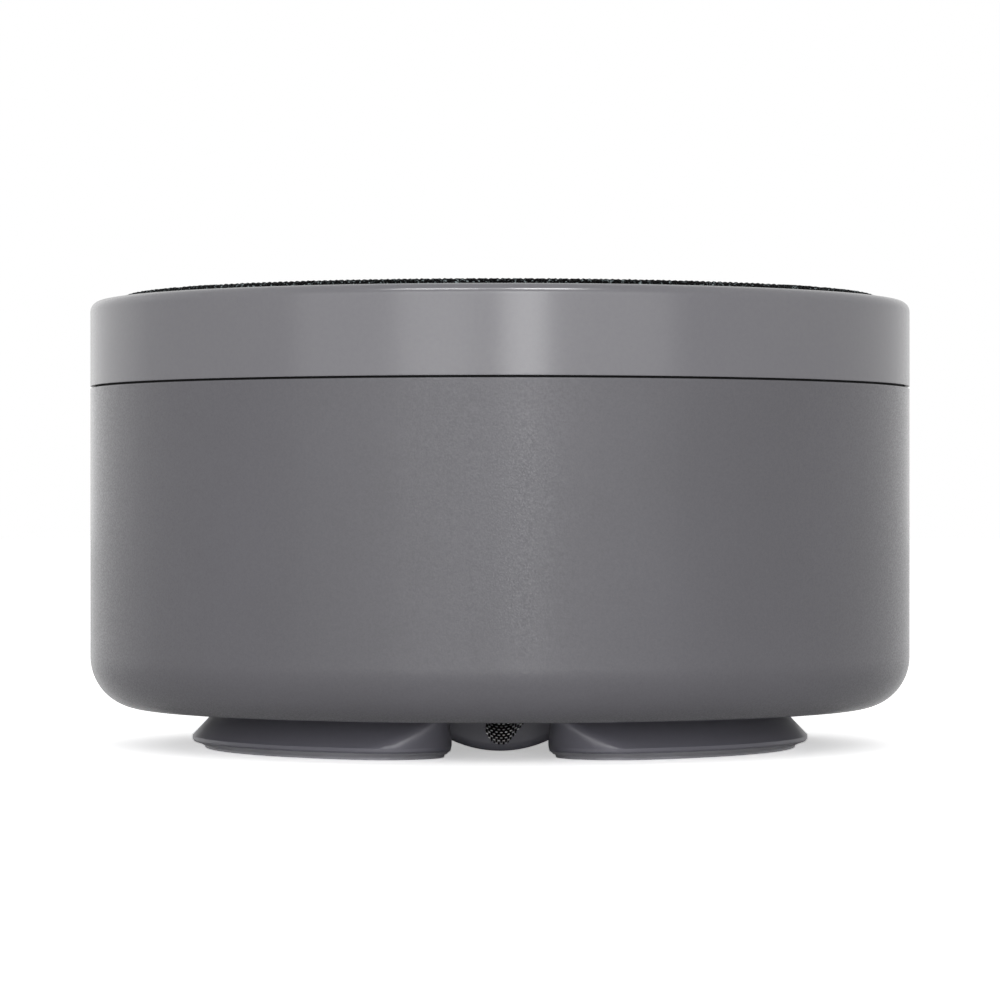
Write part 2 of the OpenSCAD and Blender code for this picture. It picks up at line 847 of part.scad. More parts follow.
module cone() {
  neck_r = former_out_r + glue;
  color("#3a3b3d") rotate_extrude() polygon([
    [neck_r, neck_z - paper_t],
    [neck_r + 0.7, neck_z - paper_t],
    [cone_r - 1.2, rim_z_cone - paper_t],
    [cone_r, rim_z_cone - paper_t],
    [cone_r, rim_z_cone],
    [cone_r - 1.4, rim_z_cone],
    [neck_r, neck_z + 0.1]
  ]);
}

module dust_cap() {
  slope = cone_depth / (cone_r - 1.4 - former_out_r);
  base_z = neck_z + (cap_base_r - former_out_r) * slope + 0.1;
  drop = sqrt(cap_r * cap_r - cap_base_r * cap_base_r);
  color("#4a4b4e") rotate_extrude() intersection() {
    translate([0, base_z - drop]) difference() {
      circle(cap_r);
      circle(cap_r - cap_t);
    }
    rect(0, base_z, cap_base_r + 1, base_z + cap_r);
  }
}

module surround() {
  t = surround_t;
  roll_at = cone_r + roll_r - t / 2;
  z = flange_top + glue + t / 2;
  color("#1a1a1c") rotate_extrude() union() {
    intersection() {
      translate([roll_at, z]) difference() {
        circle(roll_r);
        circle(roll_r - t);
      }
      rect(0, z, roll_at + roll_r + 1, z + roll_r + 1);
    }
    rect(cone_r - 1.2, rim_z_cone + glue, roll_at - roll_r + t, z + t / 2);
    rect(roll_at + roll_r - t, flange_top + glue, flange_in_r + 1.4, z + t / 2);
  }
}

module spider() {
  waves = 5;
  inner = former_out_r + 0.15;
  seat = spider_seat_r + 2.6;
  pitch = (spider_seat_r - inner - 1.2) / waves;
  z = spider_seat_z + glue;
  color("#c9a14e") rotate_extrude() union() {
    rect(inner, z, inner + 0.8, z + spider_t);
    for (i = [0:waves - 1]) translate([inner + 0.6 + (i + 0.5) * pitch, z + spider_t / 2])
      difference() {
        circle(pitch / 2 + spider_t / 2);
        circle(pitch / 2 - spider_t / 2);
        rect(-pitch, i % 2 == 0 ? -pitch : 0, pitch, i % 2 == 0 ? 0 : pitch);
      }
    rect(inner + 0.6 + waves * pitch - spider_t / 2, z, seat, z + spider_t);
  }
}

module terminal_strip() {
  start = basket_r(terminal_z + terminal_t) + snug;
  color("#8c6a3a") difference() {
    translate([start, -terminal_w / 2, terminal_z])
      cube([wire_x + wire_spread - start, terminal_w, terminal_t]);
    for (s = [-1, 1]) translate([wire_x, s * wire_spread, 0])
      bar(terminal_z - 1, 4, wire_r + glue);
  }
}

module speaker_wires() {
  color("#8d1f1f") for (s = [-1, 1]) translate([wire_x, s * wire_spread, 0])
    bar(board_top, terminal_z + terminal_t + 0.5 - board_top, wire_r);
}

module wire_grommet() {
  color("#151517") difference() {
    translate([wire_x, 0, 0]) rotate_extrude() union() {
      rect(0, chamber_z, 3.1, chamber_z + chamber_wall + 0.8);
      rect(0, chamber_z + chamber_wall, 3.9, chamber_z + chamber_wall + 0.8);
    }
    for (s = [-1, 1]) translate([wire_x, s * wire_spread, 0])
      bar(chamber_z - 1, 5, wire_r + glue);
  }
}

// ---- Electronics ----

module main_board() {
  color("#1e5b3a") translate([0, 0, board_z]) linear_extrude(board_t) difference() {
    union() {
      circle(board_r);
      intersection() {
        rect(-tab_w / 2, board_r / 2, tab_w / 2, tab_y);
        circle(shell_in_r - 0.5);
      }
    }
    translate([0, port_y]) circle(port_out_r + 2);
    at_angles(post_angles) translate([post_at, 0]) circle(small_screw_r + screw_clear);
  }
}

module board_screws() {
  color("silver") at_angles(post_angles) translate([post_at, 0, 0])
    screw_down(board_top, small_screw_r, board_t + 2.2, small_head_r, small_head_h);
}

module processor() {
  color("#232427") translate([ballast_in_r + 4, 0, 0]) block(chip_w, chip_d, board_z - chip_h, chip_h);
}

module thermal_pad() {
  under_chip = board_z - chip_h - floor_z - ballast_t;
  color("#9fb7c9") translate([ballast_in_r + 4, 0, 0])
    block(chip_w - 1, chip_d - 1, floor_z + ballast_t, under_chip);
}

module ballast_ring() {
  color("#77797c") difference() {
    tube(floor_z, ballast_t, ballast_r, ballast_in_r);
    at_angles(foot_angles) translate([base_screw_at, 0, 0])
      bar(floor_z - 1, ballast_t + 2, base_screw_r + glue);
  }
}

module shield_can() {
  vents = 2;
  color("#b9bbbd") translate([can_x, can_y, board_top]) difference() {
    block(can_w, can_d, 0, can_h);
    block(can_w - 2 * can_t, can_d - 2 * can_t, -1, can_h - can_t + 1);
    for (i = [-vents:vents], j = [-vents:vents])
      translate([i * can_w / 6, j * can_d / 6, 0]) bar(can_h - 2 * can_t, 1, 0.5);
  }
}

module power_coils() {
  color("#3d3e42") for (i = [-1:1])
    translate([i * (coil_w + 1.5), ballast_r + coil_w / 2 + 0.5, board_z - coil_h]) difference() {
      block(coil_w, coil_w, 0, coil_h);
      bar(-1, 1.4, coil_w * 0.36);
    }
}

module power_socket() {
  r = inlet_h / 2;
  flat = (inlet_w - inlet_h) / 2;
  wall = 0.3;
  depth = 7.3;
  mouth = sqrt(body_r * body_r - inlet_x * inlet_x) - 0.6;
  color("#c2c4c6") translate([-inlet_x, mouth - depth, inlet_z]) rotate([-90, 0, 0]) {
    linear_extrude(depth) difference() {
      union() {
        for (s = [-1, 1]) translate([s * flat, 0]) circle(r);
        rect(-flat, -r, flat, r);
      }
      for (s = [-1, 1]) translate([s * flat, 0]) circle(r - wall);
      rect(-flat, wall - r, flat, r - wall);
    }
    linear_extrude(1) union() {
      for (s = [-1, 1]) translate([s * flat, 0]) circle(r);
      rect(-flat, -r, flat, r);
    }
    // contact tongue
    translate([-3.3, -0.35, 0.9]) cube([6.6, 0.7, 5]);
  }
}

module mute_switch() {
  slot_w = stem_w + mute_travel + 2 * 0.3;
  slot_h = stem_h + 2 * 0.3;
  color("#2a2b2e") difference() {
    translate([inlet_x - mute_box_w / 2, mute_box_y, board_top])
      cube([mute_box_w, mute_box_d, mute_box_h]);
    translate([inlet_x - slot_w / 2, mute_box_y + 1, mute_z - slot_h / 2])
      cube([slot_w, mute_box_d, slot_h]);
  }
}

// Stored at the live end of its travel; it slides towards -X to mute.
module mute_slider() {
  x = inlet_x + mute_travel / 2;
  knob_y = mute_box_y + mute_box_d + 0.5;
  depth = knob_out - knob_y;
  color("#7d7d82") difference() {
    union() {
      translate([x - stem_w / 2, mute_box_y + 1.3, mute_z - stem_h / 2])
        cube([stem_w, mute_box_d, stem_h]);
      translate([x - knob_w / 2, knob_y, mute_z - knob_h / 2]) cube([knob_w, depth, knob_h]);
    }
    for (i = [-1:1]) translate([x + i * 0.9 - 0.2, knob_out - 0.35, mute_z - knob_h])
      cube([0.4, 1, 2 * knob_h]);
  }
}

module ribbon_cable() {
  foot_run = 3.6;
  low = board_top + low_socket_h + ribbon_t;
  high = mic_board_z - high_socket_h;
  color("#a8752f") {
    translate([ribbon_x - ribbon_t, -ribbon_w / 2, low]) cube([ribbon_t, ribbon_w, high - low]);
    translate([ribbon_x - ribbon_t, -ribbon_w / 2, low - ribbon_t])
      cube([ribbon_x * -1 - board_r + foot_run, ribbon_w, ribbon_t + eps]);
  }
}

module ribbon_sockets() {
  color("#e2ddd0") {
    translate([-board_r + 0.6, -ribbon_w / 2 - 1, board_top])
      cube([socket_d, ribbon_w + 2, low_socket_h]);
    translate([ribbon_x - high_socket_d / 2, -ribbon_w / 2 - 1, mic_board_z - high_socket_h])
      cube([high_socket_d, ribbon_w + 2, high_socket_h]);
  }
}

module mic_board() {
  color("#1e5b3a") difference() {
    tube(mic_board_z, mic_board_t, mic_board_r, mic_board_in_r);
    at_angles(mic_screw_angles) translate([mic_screw_at, 0, 0])
      bar(mic_board_z - 1, 4, small_screw_r - 0.3 + 0.1);
    at_angles(mic_angles) translate([mic_at, 0, 0]) bar(mic_board_z - 1, 4, 0.4);
  }
}

module mic_board_screws() {
  color("silver") at_angles(mic_screw_angles) translate([mic_screw_at, 0, mic_board_z])
    rotate([180, 0, 0]) screw_down(0, small_screw_r - 0.3, mic_board_t + ledge_t - 0.5, 1.2, 0.8);
}

module microphones() {
  color("#caa45a") at_angles(mic_angles) translate([mic_at, 0, 0])
    block(2.8, 3.8, mic_board_z - 1, 1);
}

module mic_seals() {
  color("#101012") at_angles(mic_angles) translate([mic_at, 0, 0])
    tube(ledge_z, seat_z - ledge_z, 2.2, 0.8);
}

module status_lights() {
  color("#f2f2ea") at_angles(light_angles) translate([light_at, 0, 0])
    block(1.8, 1.8, ledge_z, 0.6);
}

module light_guides() {
  color("#dfe6ea") at_angles(light_angles) translate([light_at, 0, 0])
    bar(ledge_z + 0.6, seat_z - ledge_z - 0.6, 1.3);
}

module radio_antennas() {
  inner = chamber_r + glue;
  color("#b97a35") at_angles([190, 340]) translate([0, 0, chamber_z + antenna_rise])
    rotate_extrude(angle = antenna_arc) rect(inner, 0, inner + antenna_t, antenna_h);
}

// ---- Assembly ----

body_shell();
top_ring();
seam_gasket();
top_cloth();
grille_plate();
bottom_cover();
foot_front_left();
foot_front_right();
foot_rear();
pad_front_left();
pad_front_right();
pad_rear();
port_pod();
port_mesh();
port_tube();
base_screws();
baffle();
chamber_cup();
chamber_seal();
baffle_screws();
shell_screws();
driver_gasket();
driver_basket();
driver_screws();
top_plate();
magnet();
yoke();
coil_former();
voice_coil();
cone();
dust_cap();
surround();
spider();
terminal_strip();
speaker_wires();
wire_grommet();
main_board();
board_screws();
processor();
thermal_pad();
ballast_ring();
shield_can();
power_coils();
power_socket();
mute_switch();
mute_slider();
ribbon_cable();
ribbon_sockets();
mic_board();
mic_board_screws();
microphones();
mic_seals();
status_lights();
light_guides();
radio_antennas();
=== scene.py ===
import json
import math

import bmesh
import bpy
import numpy as np
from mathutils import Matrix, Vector


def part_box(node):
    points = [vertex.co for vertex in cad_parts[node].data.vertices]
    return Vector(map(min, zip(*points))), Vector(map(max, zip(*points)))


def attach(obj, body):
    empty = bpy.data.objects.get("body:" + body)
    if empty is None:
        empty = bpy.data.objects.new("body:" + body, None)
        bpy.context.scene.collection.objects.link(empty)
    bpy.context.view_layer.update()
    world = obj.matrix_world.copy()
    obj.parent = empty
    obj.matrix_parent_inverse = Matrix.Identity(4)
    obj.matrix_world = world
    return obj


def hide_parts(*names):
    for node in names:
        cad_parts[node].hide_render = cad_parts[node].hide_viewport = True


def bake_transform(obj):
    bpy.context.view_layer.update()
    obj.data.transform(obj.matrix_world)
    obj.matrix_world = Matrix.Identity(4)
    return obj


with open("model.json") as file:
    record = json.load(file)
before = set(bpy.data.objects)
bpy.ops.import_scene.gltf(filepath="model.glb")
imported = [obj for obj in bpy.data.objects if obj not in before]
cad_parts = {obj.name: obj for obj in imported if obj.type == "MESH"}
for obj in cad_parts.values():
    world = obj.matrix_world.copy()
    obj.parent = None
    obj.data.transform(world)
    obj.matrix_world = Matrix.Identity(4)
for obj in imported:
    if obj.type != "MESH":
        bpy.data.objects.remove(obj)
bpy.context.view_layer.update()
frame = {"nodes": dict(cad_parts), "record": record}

# The looks of a compact table-top smart speaker: a matt moulded body, a satin
# top ring, a knitted acoustic cloth, three flared feet and a woven port mesh.
# Sizes are written in millimetres and turned to metres as a mesh is made, in
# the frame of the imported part.

nodes = frame["nodes"]
MM = 0.001
TURN = 2 * math.pi


def linear(hexa):
    """An sRGB hex colour as linear RGBA."""
    rgb = [int(hexa[i:i + 2], 16) / 255 for i in (0, 2, 4)]
    return (*[c / 12.92 if c <= 0.04045 else ((c + 0.055) / 1.055) ** 2.4 for c in rgb], 1.0)


def box_mm(node):
    """A node's lowest and highest corner, in millimetres."""
    low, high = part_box(node)
    return Vector(low) / MM, Vector(high) / MM


# ---- Sizes ----

body_low, body_high = box_mm("body_shell")
ring_low, ring_high = box_mm("top_ring")
cloth_low, cloth_high = box_mm("top_cloth")
gasket_low, gasket_high = box_mm("seam_gasket")
cover_high = box_mm("bottom_cover")[1]
socket_low, socket_high = box_mm("power_socket")
slider_low, slider_high = box_mm("mute_slider")
pod_low = box_mm("port_pod")[0]

BODY_R = body_high.x
WALL = 2.2
BODY_FILLET = 6.25
EDGE = 0.1
SEAM_EDGE = 0.04
HOLD = 0.15       # a row of points this close to a rounding keeps the face beside it flat
UNDER_Z = body_low.z
RIM_Z = gasket_low.z
RING_Z = gasket_high.z
RING_TOP = ring_high.z
RING_FILLET = 1.25
CLOTH_R = cloth_high.x
CLOTH_TOP = cloth_high.z
COVER_R = cover_high.x
ROUND_STEPS = 288

GRAIN_PIT, GRAIN_TOP = 0.36, 0.64    # grain noise at the floor of a pit and on a top
GLANCE_IOR, GLANCE_ROUGH = 1.11, 0.16    # the weak mirror that grain tops give at a glance
WAVE_RADIANS = 20    # radians of a wave texture in one unit of its scaled place
LEG_SLANT = 1.3      # how far a yarn leg climbs over its half of a wale, in courses
LOOP_DEPTH = 0.7     # how deep the cloth sinks between two loops, as a share


# ---- Node trees ----

def add(tree, kind, inputs=None, stops=(), **settings):
    """Adds a node, sets its properties and the (place, hex colour) stops of a ramp,
    and sets or links its inputs."""
    node = tree.nodes.new(kind)
    for key, value in settings.items():
        setattr(node, key, value)
    for k, (place, hexa) in enumerate(stops):
        element = node.color_ramp.elements[k]
        element.position, element.color = place, linear(hexa)
    for key, value in (inputs or {}).items():
        if isinstance(value, bpy.types.NodeSocket):
            tree.links.new(value, node.inputs[key])
        else:
            node.inputs[key].default_value = value
    return node


def start_material(name):
    """An empty material, its tree and its Object coordinates."""
    material = bpy.data.materials.new(name)
    material.use_nodes = True
    tree = material.node_tree
    tree.nodes.clear()
    place = add(tree, "ShaderNodeTexCoord").outputs["Object"]
    return material, tree, place


def end_material(material, tree, shader):
    """Ends a material in its shader."""
    out = add(tree, "ShaderNodeOutputMaterial", {"Surface": shader.outputs[0]})
    out.is_active_output = True
    return material


def per_mm(pitch):
    """The texture scale whose features are about pitch millimetres apart."""
    return 1 / (pitch * MM)


# ---- Materials ----

def moulded_plastic(name, dark, light, roughness, grain, depth, ior=1.5, wear=0.05, glance=0.0,
                    glint=0.0):
    """Injection-moulded ABS: a spark-eroded tool leaves a fine even grain, which
    scatters the gloss, and the colour drifts a little over the part. The tops of
    the grain line up at a glancing look, so the edges still mirror their
    surroundings, which a thin weak coat stands for (glance). Single grains sparkle
    where the part mirrors a lamp (glint)."""
    material, tree, place = start_material(name)
    drift = add(tree, "ShaderNodeTexNoise",
                {"Vector": place, "Scale": per_mm(24), "Detail": 3.0, "Roughness": 0.55})
    speck = add(tree, "ShaderNodeTexNoise",
                {"Vector": place, "Scale": per_mm(grain * 2.2), "Detail": 2.0, "Roughness": 0.6})
    both = add(tree, "ShaderNodeMix", {"Factor": 0.45, 2: drift.outputs["Fac"],
                                       3: speck.outputs["Fac"]}, data_type="FLOAT")
    colour = add(tree, "ShaderNodeValToRGB", {"Fac": both.outputs[0]},
                 stops=[(0.3, dark), (0.7, light)]).outputs["Color"]
    pits = add(tree, "ShaderNodeTexNoise",
               {"Vector": place, "Scale": per_mm(grain), "Detail": 2.0, "Roughness": 0.5})
    gloss = add(tree, "ShaderNodeMapRange",
                {"Value": pits.outputs["Fac"], 1: GRAIN_PIT, 2: GRAIN_TOP,
                 3: roughness + wear, 4: roughness - wear})
    bump = add(tree, "ShaderNodeBump",
               {"Height": pits.outputs["Fac"], "Strength": 0.6, "Distance": depth * MM})
    finish = {"Base Color": colour, "Roughness": gloss.outputs[0],
              "Normal": bump.outputs["Normal"], "IOR": ior, "Coat Weight": glance,
              "Coat IOR": GLANCE_IOR, "Coat Roughness": GLANCE_ROUGH}
    # Without sparkle the level is the same all over and stays as the shader has it
    if glint:
        sparkle = add(tree, "ShaderNodeMapRange",
                      {"Value": pits.outputs["Fac"], 1: GRAIN_PIT, 2: GRAIN_TOP,
                       3: 0.5 - glint, 4: 0.5 + glint})
        finish["Specular IOR Level"] = sparkle.outputs[0]
    return end_material(material, tree, add(tree, "ShaderNodeBsdfPrincipled", finish))


def moulded_rubber(name, dark, light, roughness=0.75, sheen=0.15):
    """Compression-moulded rubber: dull, with a dusty bloom and fine pores."""
    material, tree, place = start_material(name)
    bloom = add(tree, "ShaderNodeTexNoise",
                {"Vector": place, "Scale": per_mm(6), "Detail": 4.0, "Roughness": 0.6})
    colour = add(tree, "ShaderNodeValToRGB", {"Fac": bloom.outputs["Fac"]},
                 stops=[(0.35, dark), (0.68, light)]).outputs["Color"]
    pores = add(tree, "ShaderNodeTexVoronoi",
                {"Vector": place, "Scale": per_mm(0.35)}, feature="F1")
    bump = add(tree, "ShaderNodeBump",
               {"Height": pores.outputs["Distance"], "Strength": 0.35, "Distance": 0.03 * MM})
    shader = add(tree, "ShaderNodeBsdfPrincipled",
                 {"Base Color": colour, "Roughness": roughness,
                  "Normal": bump.outputs["Normal"], "Sheen Weight": sheen,
                  "Sheen Roughness": 0.5})
    return end_material(material, tree, shader)


def rolled_metal(name, dark, light, roughness, stretch=(1, 14, 1), streak=0.12):
    """Rolled or drawn metal: fine parallel streaks break up the reflections."""
    material, tree, place = start_material(name)
    along = add(tree, "ShaderNodeMapping", {"Vector": place, "Scale": stretch})
    streaks = add(tree, "ShaderNodeTexNoise",
                  {"Vector": along.outputs[0], "Scale": per_mm(streak * 14), "Detail": 4.0,
                   "Roughness": 0.65})
    colour = add(tree, "ShaderNodeValToRGB", {"Fac": streaks.outputs["Fac"]},
                 stops=[(0.3, dark), (0.7, light)]).outputs["Color"]
    gloss = add(tree, "ShaderNodeMapRange",
                {"Value": streaks.outputs["Fac"], 1: 0.3, 2: 0.7, 3: roughness * 0.75,
                 4: roughness * 1.25})
    bump = add(tree, "ShaderNodeBump",
               {"Height": streaks.outputs["Fac"], "Strength": 0.25, "Distance": 0.01 * MM})
    shader = add(tree, "ShaderNodeBsdfPrincipled",
                 {"Base Color": colour, "Metallic": 1.0, "Roughness": gloss.outputs[0],
                  "Normal": bump.outputs["Normal"]})
    return end_material(material, tree, shader)


def coated_wire(name, coat, highlight_colour):
    """Woven wire in a black coat with a painted highlight: the crests of the weave
    are drawn bright and metallic, so that each crest shows as a bright dash. The
    crest attribute says where."""
    material, tree, place = start_material(name)
    crest = add(tree, "ShaderNodeAttribute", attribute_name="crest")
    highlight_noise = add(tree, "ShaderNodeTexNoise",
                {"Vector": place, "Scale": per_mm(0.12), "Detail": 3.0, "Roughness": 0.6})
    # Painted highlight: the crests are drawn bright and metallic where the crest attribute rises
    highlight_mask = add(tree, "ShaderNodeMath", {0: highlight_noise.outputs["Fac"], 1: 0.5, 2: crest.outputs["Fac"]},
               operation="MULTIPLY_ADD")
    share = add(tree, "ShaderNodeMapRange", {"Value": highlight_mask.outputs[0], 1: 0.5, 2: 0.8})
    colour = add(tree, "ShaderNodeMix", {"Factor": share.outputs[0], 6: linear(coat),
                                         7: linear(highlight_colour)}, data_type="RGBA")
    gloss = add(tree, "ShaderNodeMapRange", {"Value": share.outputs[0], 3: 0.6, 4: 0.4})
    shader = add(tree, "ShaderNodeBsdfPrincipled",
                 {"Base Color": colour.outputs[2], "Metallic": share.outputs[0],
                  "Roughness": gloss.outputs[0]})
    return end_material(material, tree, shader)


def pressed_fibre(name, dark, light, fibre, roughness=0.9):
    """Felted paper or ferrite-like pressed stock: short crossing fibres or grains."""
    material, tree, place = start_material(name)
    along = add(tree, "ShaderNodeMapping", {"Vector": place, "Scale": (1.0, 3.2, 1.0),
                                            "Rotation": (0.0, 0.0, 0.6)})
    across = add(tree, "ShaderNodeMapping", {"Vector": place, "Scale": (3.2, 1.0, 1.0),
                                             "Rotation": (0.0, 0.0, -0.4)})
    first = add(tree, "ShaderNodeTexNoise",
                {"Vector": along.outputs[0], "Scale": per_mm(fibre), "Detail": 5.0})
    second = add(tree, "ShaderNodeTexNoise",
                 {"Vector": across.outputs[0], "Scale": per_mm(fibre), "Detail": 5.0})
    felt = add(tree, "ShaderNodeMath", {0: first.outputs["Fac"], 1: second.outputs["Fac"]},
               operation="MAXIMUM")
    colour = add(tree, "ShaderNodeValToRGB", {"Fac": felt.outputs[0]},
                 stops=[(0.42, dark), (0.72, light)]).outputs["Color"]
    bump = add(tree, "ShaderNodeBump",
               {"Height": felt.outputs[0], "Strength": 0.5, "Distance": 0.04 * MM})
    shader = add(tree, "ShaderNodeBsdfPrincipled",
                 {"Base Color": colour, "Roughness": roughness,
                  "Normal": bump.outputs["Normal"]})
    return end_material(material, tree, shader)


def circuit_board(name):
    """Glass-epoxy board: gloss green solder mask over the faint relief of its
    copper tracks."""
    material, tree, place = start_material(name)
    tracks = add(tree, "ShaderNodeTexBrick",
                 {"Vector": place, "Scale": per_mm(3.2), "Color1": linear("1b5a38"),
                  "Color2": linear("17492f"), "Mortar": linear("2c7a4d"),
                  "Mortar Size": 0.04, "Bias": 0.1})
    bump = add(tree, "ShaderNodeBump",
               {"Height": tracks.outputs["Fac"], "Strength": 0.4, "Distance": 0.03 * MM})
    shader = add(tree, "ShaderNodeBsdfPrincipled",
                 {"Base Color": tracks.outputs["Color"], "Roughness": 0.32,
                  "Normal": bump.outputs["Normal"], "Coat Weight": 0.3,
                  "Coat Roughness": 0.2})
    return end_material(material, tree, shader)


def wound_wire(name, dark, light, pitch):
    """Enamelled copper wire, wound in level turns: a ridge for every turn, with painted
    shade in the grooves and a painted shine on the ridges. The ridges come 2 pi times
    the pitch apart, coarser than the real turns."""
    material, tree, place = start_material(name)
    turns = add(tree, "ShaderNodeTexWave",
                {"Vector": place, "Scale": per_mm(pitch) / WAVE_RADIANS, "Distortion": 0.0},
                wave_type="BANDS", bands_direction="Z")
    colour = add(tree, "ShaderNodeValToRGB", {"Fac": turns.outputs["Fac"]},
                 stops=[(0.1, dark), (0.8, light)]).outputs["Color"]
    bump = add(tree, "ShaderNodeBump",
               {"Height": turns.outputs["Fac"], "Strength": 0.8, "Distance": 0.06 * MM})
    shader = add(tree, "ShaderNodeBsdfPrincipled",
                 {"Base Color": colour, "Metallic": 0.9, "Roughness": 0.28,
                  "Normal": bump.outputs["Normal"], "Coat Weight": 0.5})
    return end_material(material, tree, shader)


def woven_sheet(name, dark, light, pitch, roughness=0.85):
    """Resin-dipped cotton or laminated film: threads or conductors in both
    directions, 2 pi times the pitch apart, coarser than the real ones."""
    material, tree, place = start_material(name)
    warp = add(tree, "ShaderNodeTexWave", {"Vector": place, "Scale": per_mm(pitch) / WAVE_RADIANS},
               wave_type="BANDS", bands_direction="X")
    weft = add(tree, "ShaderNodeTexWave", {"Vector": place, "Scale": per_mm(pitch) / WAVE_RADIANS},
               wave_type="BANDS", bands_direction="Y")
    weave = add(tree, "ShaderNodeMath", {0: warp.outputs["Fac"], 1: weft.outputs["Fac"]},
                operation="MULTIPLY")
    colour = add(tree, "ShaderNodeValToRGB", {"Fac": weave.outputs[0]},
                 stops=[(0.1, dark), (0.8, light)]).outputs["Color"]
    bump = add(tree, "ShaderNodeBump",
               {"Height": weave.outputs[0], "Strength": 0.5, "Distance": 0.05 * MM})
    shader = add(tree, "ShaderNodeBsdfPrincipled",
                 {"Base Color": colour, "Roughness": roughness,
                  "Normal": bump.outputs["Normal"]})
    return end_material(material, tree, shader)


def clear_plastic(name, tint, roughness, milky):
    """Moulded acrylic: a light guide is water-clear with a faint haze, a lamp's
    lens is milky."""
    material, tree, place = start_material(name)
    haze = add(tree, "ShaderNodeTexNoise",
               {"Vector": place, "Scale": per_mm(0.8), "Detail": 3.0})
    gloss = add(tree, "ShaderNodeMapRange",
                {"Value": haze.outputs["Fac"], 3: roughness * 0.6, 4: roughness * 1.6})
    colour = add(tree, "ShaderNodeValToRGB", {"Fac": haze.outputs["Fac"]},
                 stops=[(0.3, tint), (0.7, "f4f6f6")]).outputs["Color"]
    shader = add(tree, "ShaderNodeBsdfPrincipled",
                 {"Base Color": colour, "Roughness": gloss.outputs[0], "IOR": 1.49,
                  "Transmission Weight": 1.0 - milky})
    return end_material(material, tree, shader)


def knitted_cloth(name, dark, light, fleck):
    """Weft-knitted polyester over thin foam: slanted yarn legs in upright wales,
    dark gaps between them, and pale flecks on the yarn, which are paler filaments
    with painted glints. The UV map counts stitches, so it follows the cloth over its edge."""
    material, tree, place = start_material(name)
    stitch = add(tree, "ShaderNodeUVMap", uv_map="stitches").outputs[0]
    axes = add(tree, "ShaderNodeSeparateXYZ", {0: stitch})
    across = add(tree, "ShaderNodeMath", {0: axes.outputs["X"], 1: 0.5}, operation="PINGPONG")
    leg_at = add(tree, "ShaderNodeMath", {0: across.outputs[0], 1: 4.0, 2: -1.0},
                 operation="MULTIPLY_ADD")
    leg_off = add(tree, "ShaderNodeMath", {0: leg_at.outputs[0], 1: leg_at.outputs[0]},
                  operation="MULTIPLY")
    leg = add(tree, "ShaderNodeMath", {0: 1.0, 1: leg_off.outputs[0]}, operation="SUBTRACT")
    slant = add(tree, "ShaderNodeMath",
                {0: across.outputs[0], 1: LEG_SLANT, 2: axes.outputs["Y"]},
                operation="MULTIPLY_ADD")
    course = add(tree, "ShaderNodeMath", {0: slant.outputs[0], 1: 0.5}, operation="PINGPONG")
    loop_at = add(tree, "ShaderNodeMath", {0: course.outputs[0], 1: 4.0, 2: -1.0},
                  operation="MULTIPLY_ADD")
    loop_off = add(tree, "ShaderNodeMath", {0: loop_at.outputs[0], 1: loop_at.outputs[0]},
                   operation="MULTIPLY")
    loop = add(tree, "ShaderNodeMath", {0: loop_off.outputs[0], 1: -LOOP_DEPTH, 2: 1.0},
               operation="MULTIPLY_ADD")
    yarn = add(tree, "ShaderNodeMath", {0: leg.outputs[0], 1: loop.outputs[0]},
               operation="MULTIPLY")
    filaments = add(tree, "ShaderNodeTexNoise",
                    {"Vector": place, "Scale": per_mm(0.22), "Detail": 4.0, "Roughness": 0.7})
    soft = add(tree, "ShaderNodeMath",
               {0: filaments.outputs["Fac"], 1: 0.55, 2: yarn.outputs[0]},
               operation="MULTIPLY_ADD")
    base = add(tree, "ShaderNodeValToRGB", {"Fac": soft.outputs[0]},
               stops=[(0.25, dark), (1.15, light)]).outputs["Color"]
    # Painted glints: pale flecks mixed into the yarn's colour
    glint = add(tree, "ShaderNodeTexNoise",
                {"Vector": place, "Scale": per_mm(0.5), "Detail": 2.0, "Roughness": 0.8})
    spark = add(tree, "ShaderNodeMapRange",
                {"Value": glint.outputs["Fac"], 1: 0.55, 2: 0.62, 3: 0.0, 4: 0.85})
    flecked = add(tree, "ShaderNodeMath", {0: spark.outputs[0], 1: yarn.outputs[0]},
                  operation="MULTIPLY")
    colour = add(tree, "ShaderNodeMix", {"Factor": flecked.outputs[0], 6: base,
                                         7: linear(fleck)}, data_type="RGBA")
    bump = add(tree, "ShaderNodeBump",
               {"Height": soft.outputs[0], "Strength": 0.9, "Distance": 0.25 * MM})
    shader = add(tree, "ShaderNodeBsdfPrincipled",
                 {"Base Color": colour.outputs[2], "Roughness": 0.8,
                  "Normal": bump.outputs["Normal"], "Sheen Weight": 0.03,
                  "Sheen Roughness": 0.4, "IOR": 1.1})
    return end_material(material, tree, shader)


# Matt grey ABS with a fine spark-eroded grain: even, dull, bright only at a glance
body_abs = moulded_plastic("matt_grained_abs", "5e5d61", "646368", 0.42, 0.2, 0.005, ior=1.43,
                           wear=0.11, glance=1.0, glint=0.06)
# The same ABS from a smoother tool, so the ring has a silky gloss
ring_abs = moulded_plastic("satin_abs", "717075", "767579", 0.2, 0.2, 0.0006, wear=0.01)
# Base parts in a satin ABS
base_abs = moulded_plastic("satin_base_abs", "717079", "74737c", 0.32, 0.16, 0.0004, wear=0.01)
# The port's pod, in the base parts' ABS from a grained tool, stays dull; it is drawn paler than
# the feet as painted light, lifting it out of the body's shade
lightened_pod_abs = moulded_plastic("grained_pod_abs_lightened", "8f8e98", "94939d", 0.4, 0.14, 0.003, ior=1.45)
# Black ABS of the inner frame parts
inner_abs = moulded_plastic("black_frame_abs", "17181a", "212226", 0.55, 0.2, 0.015)
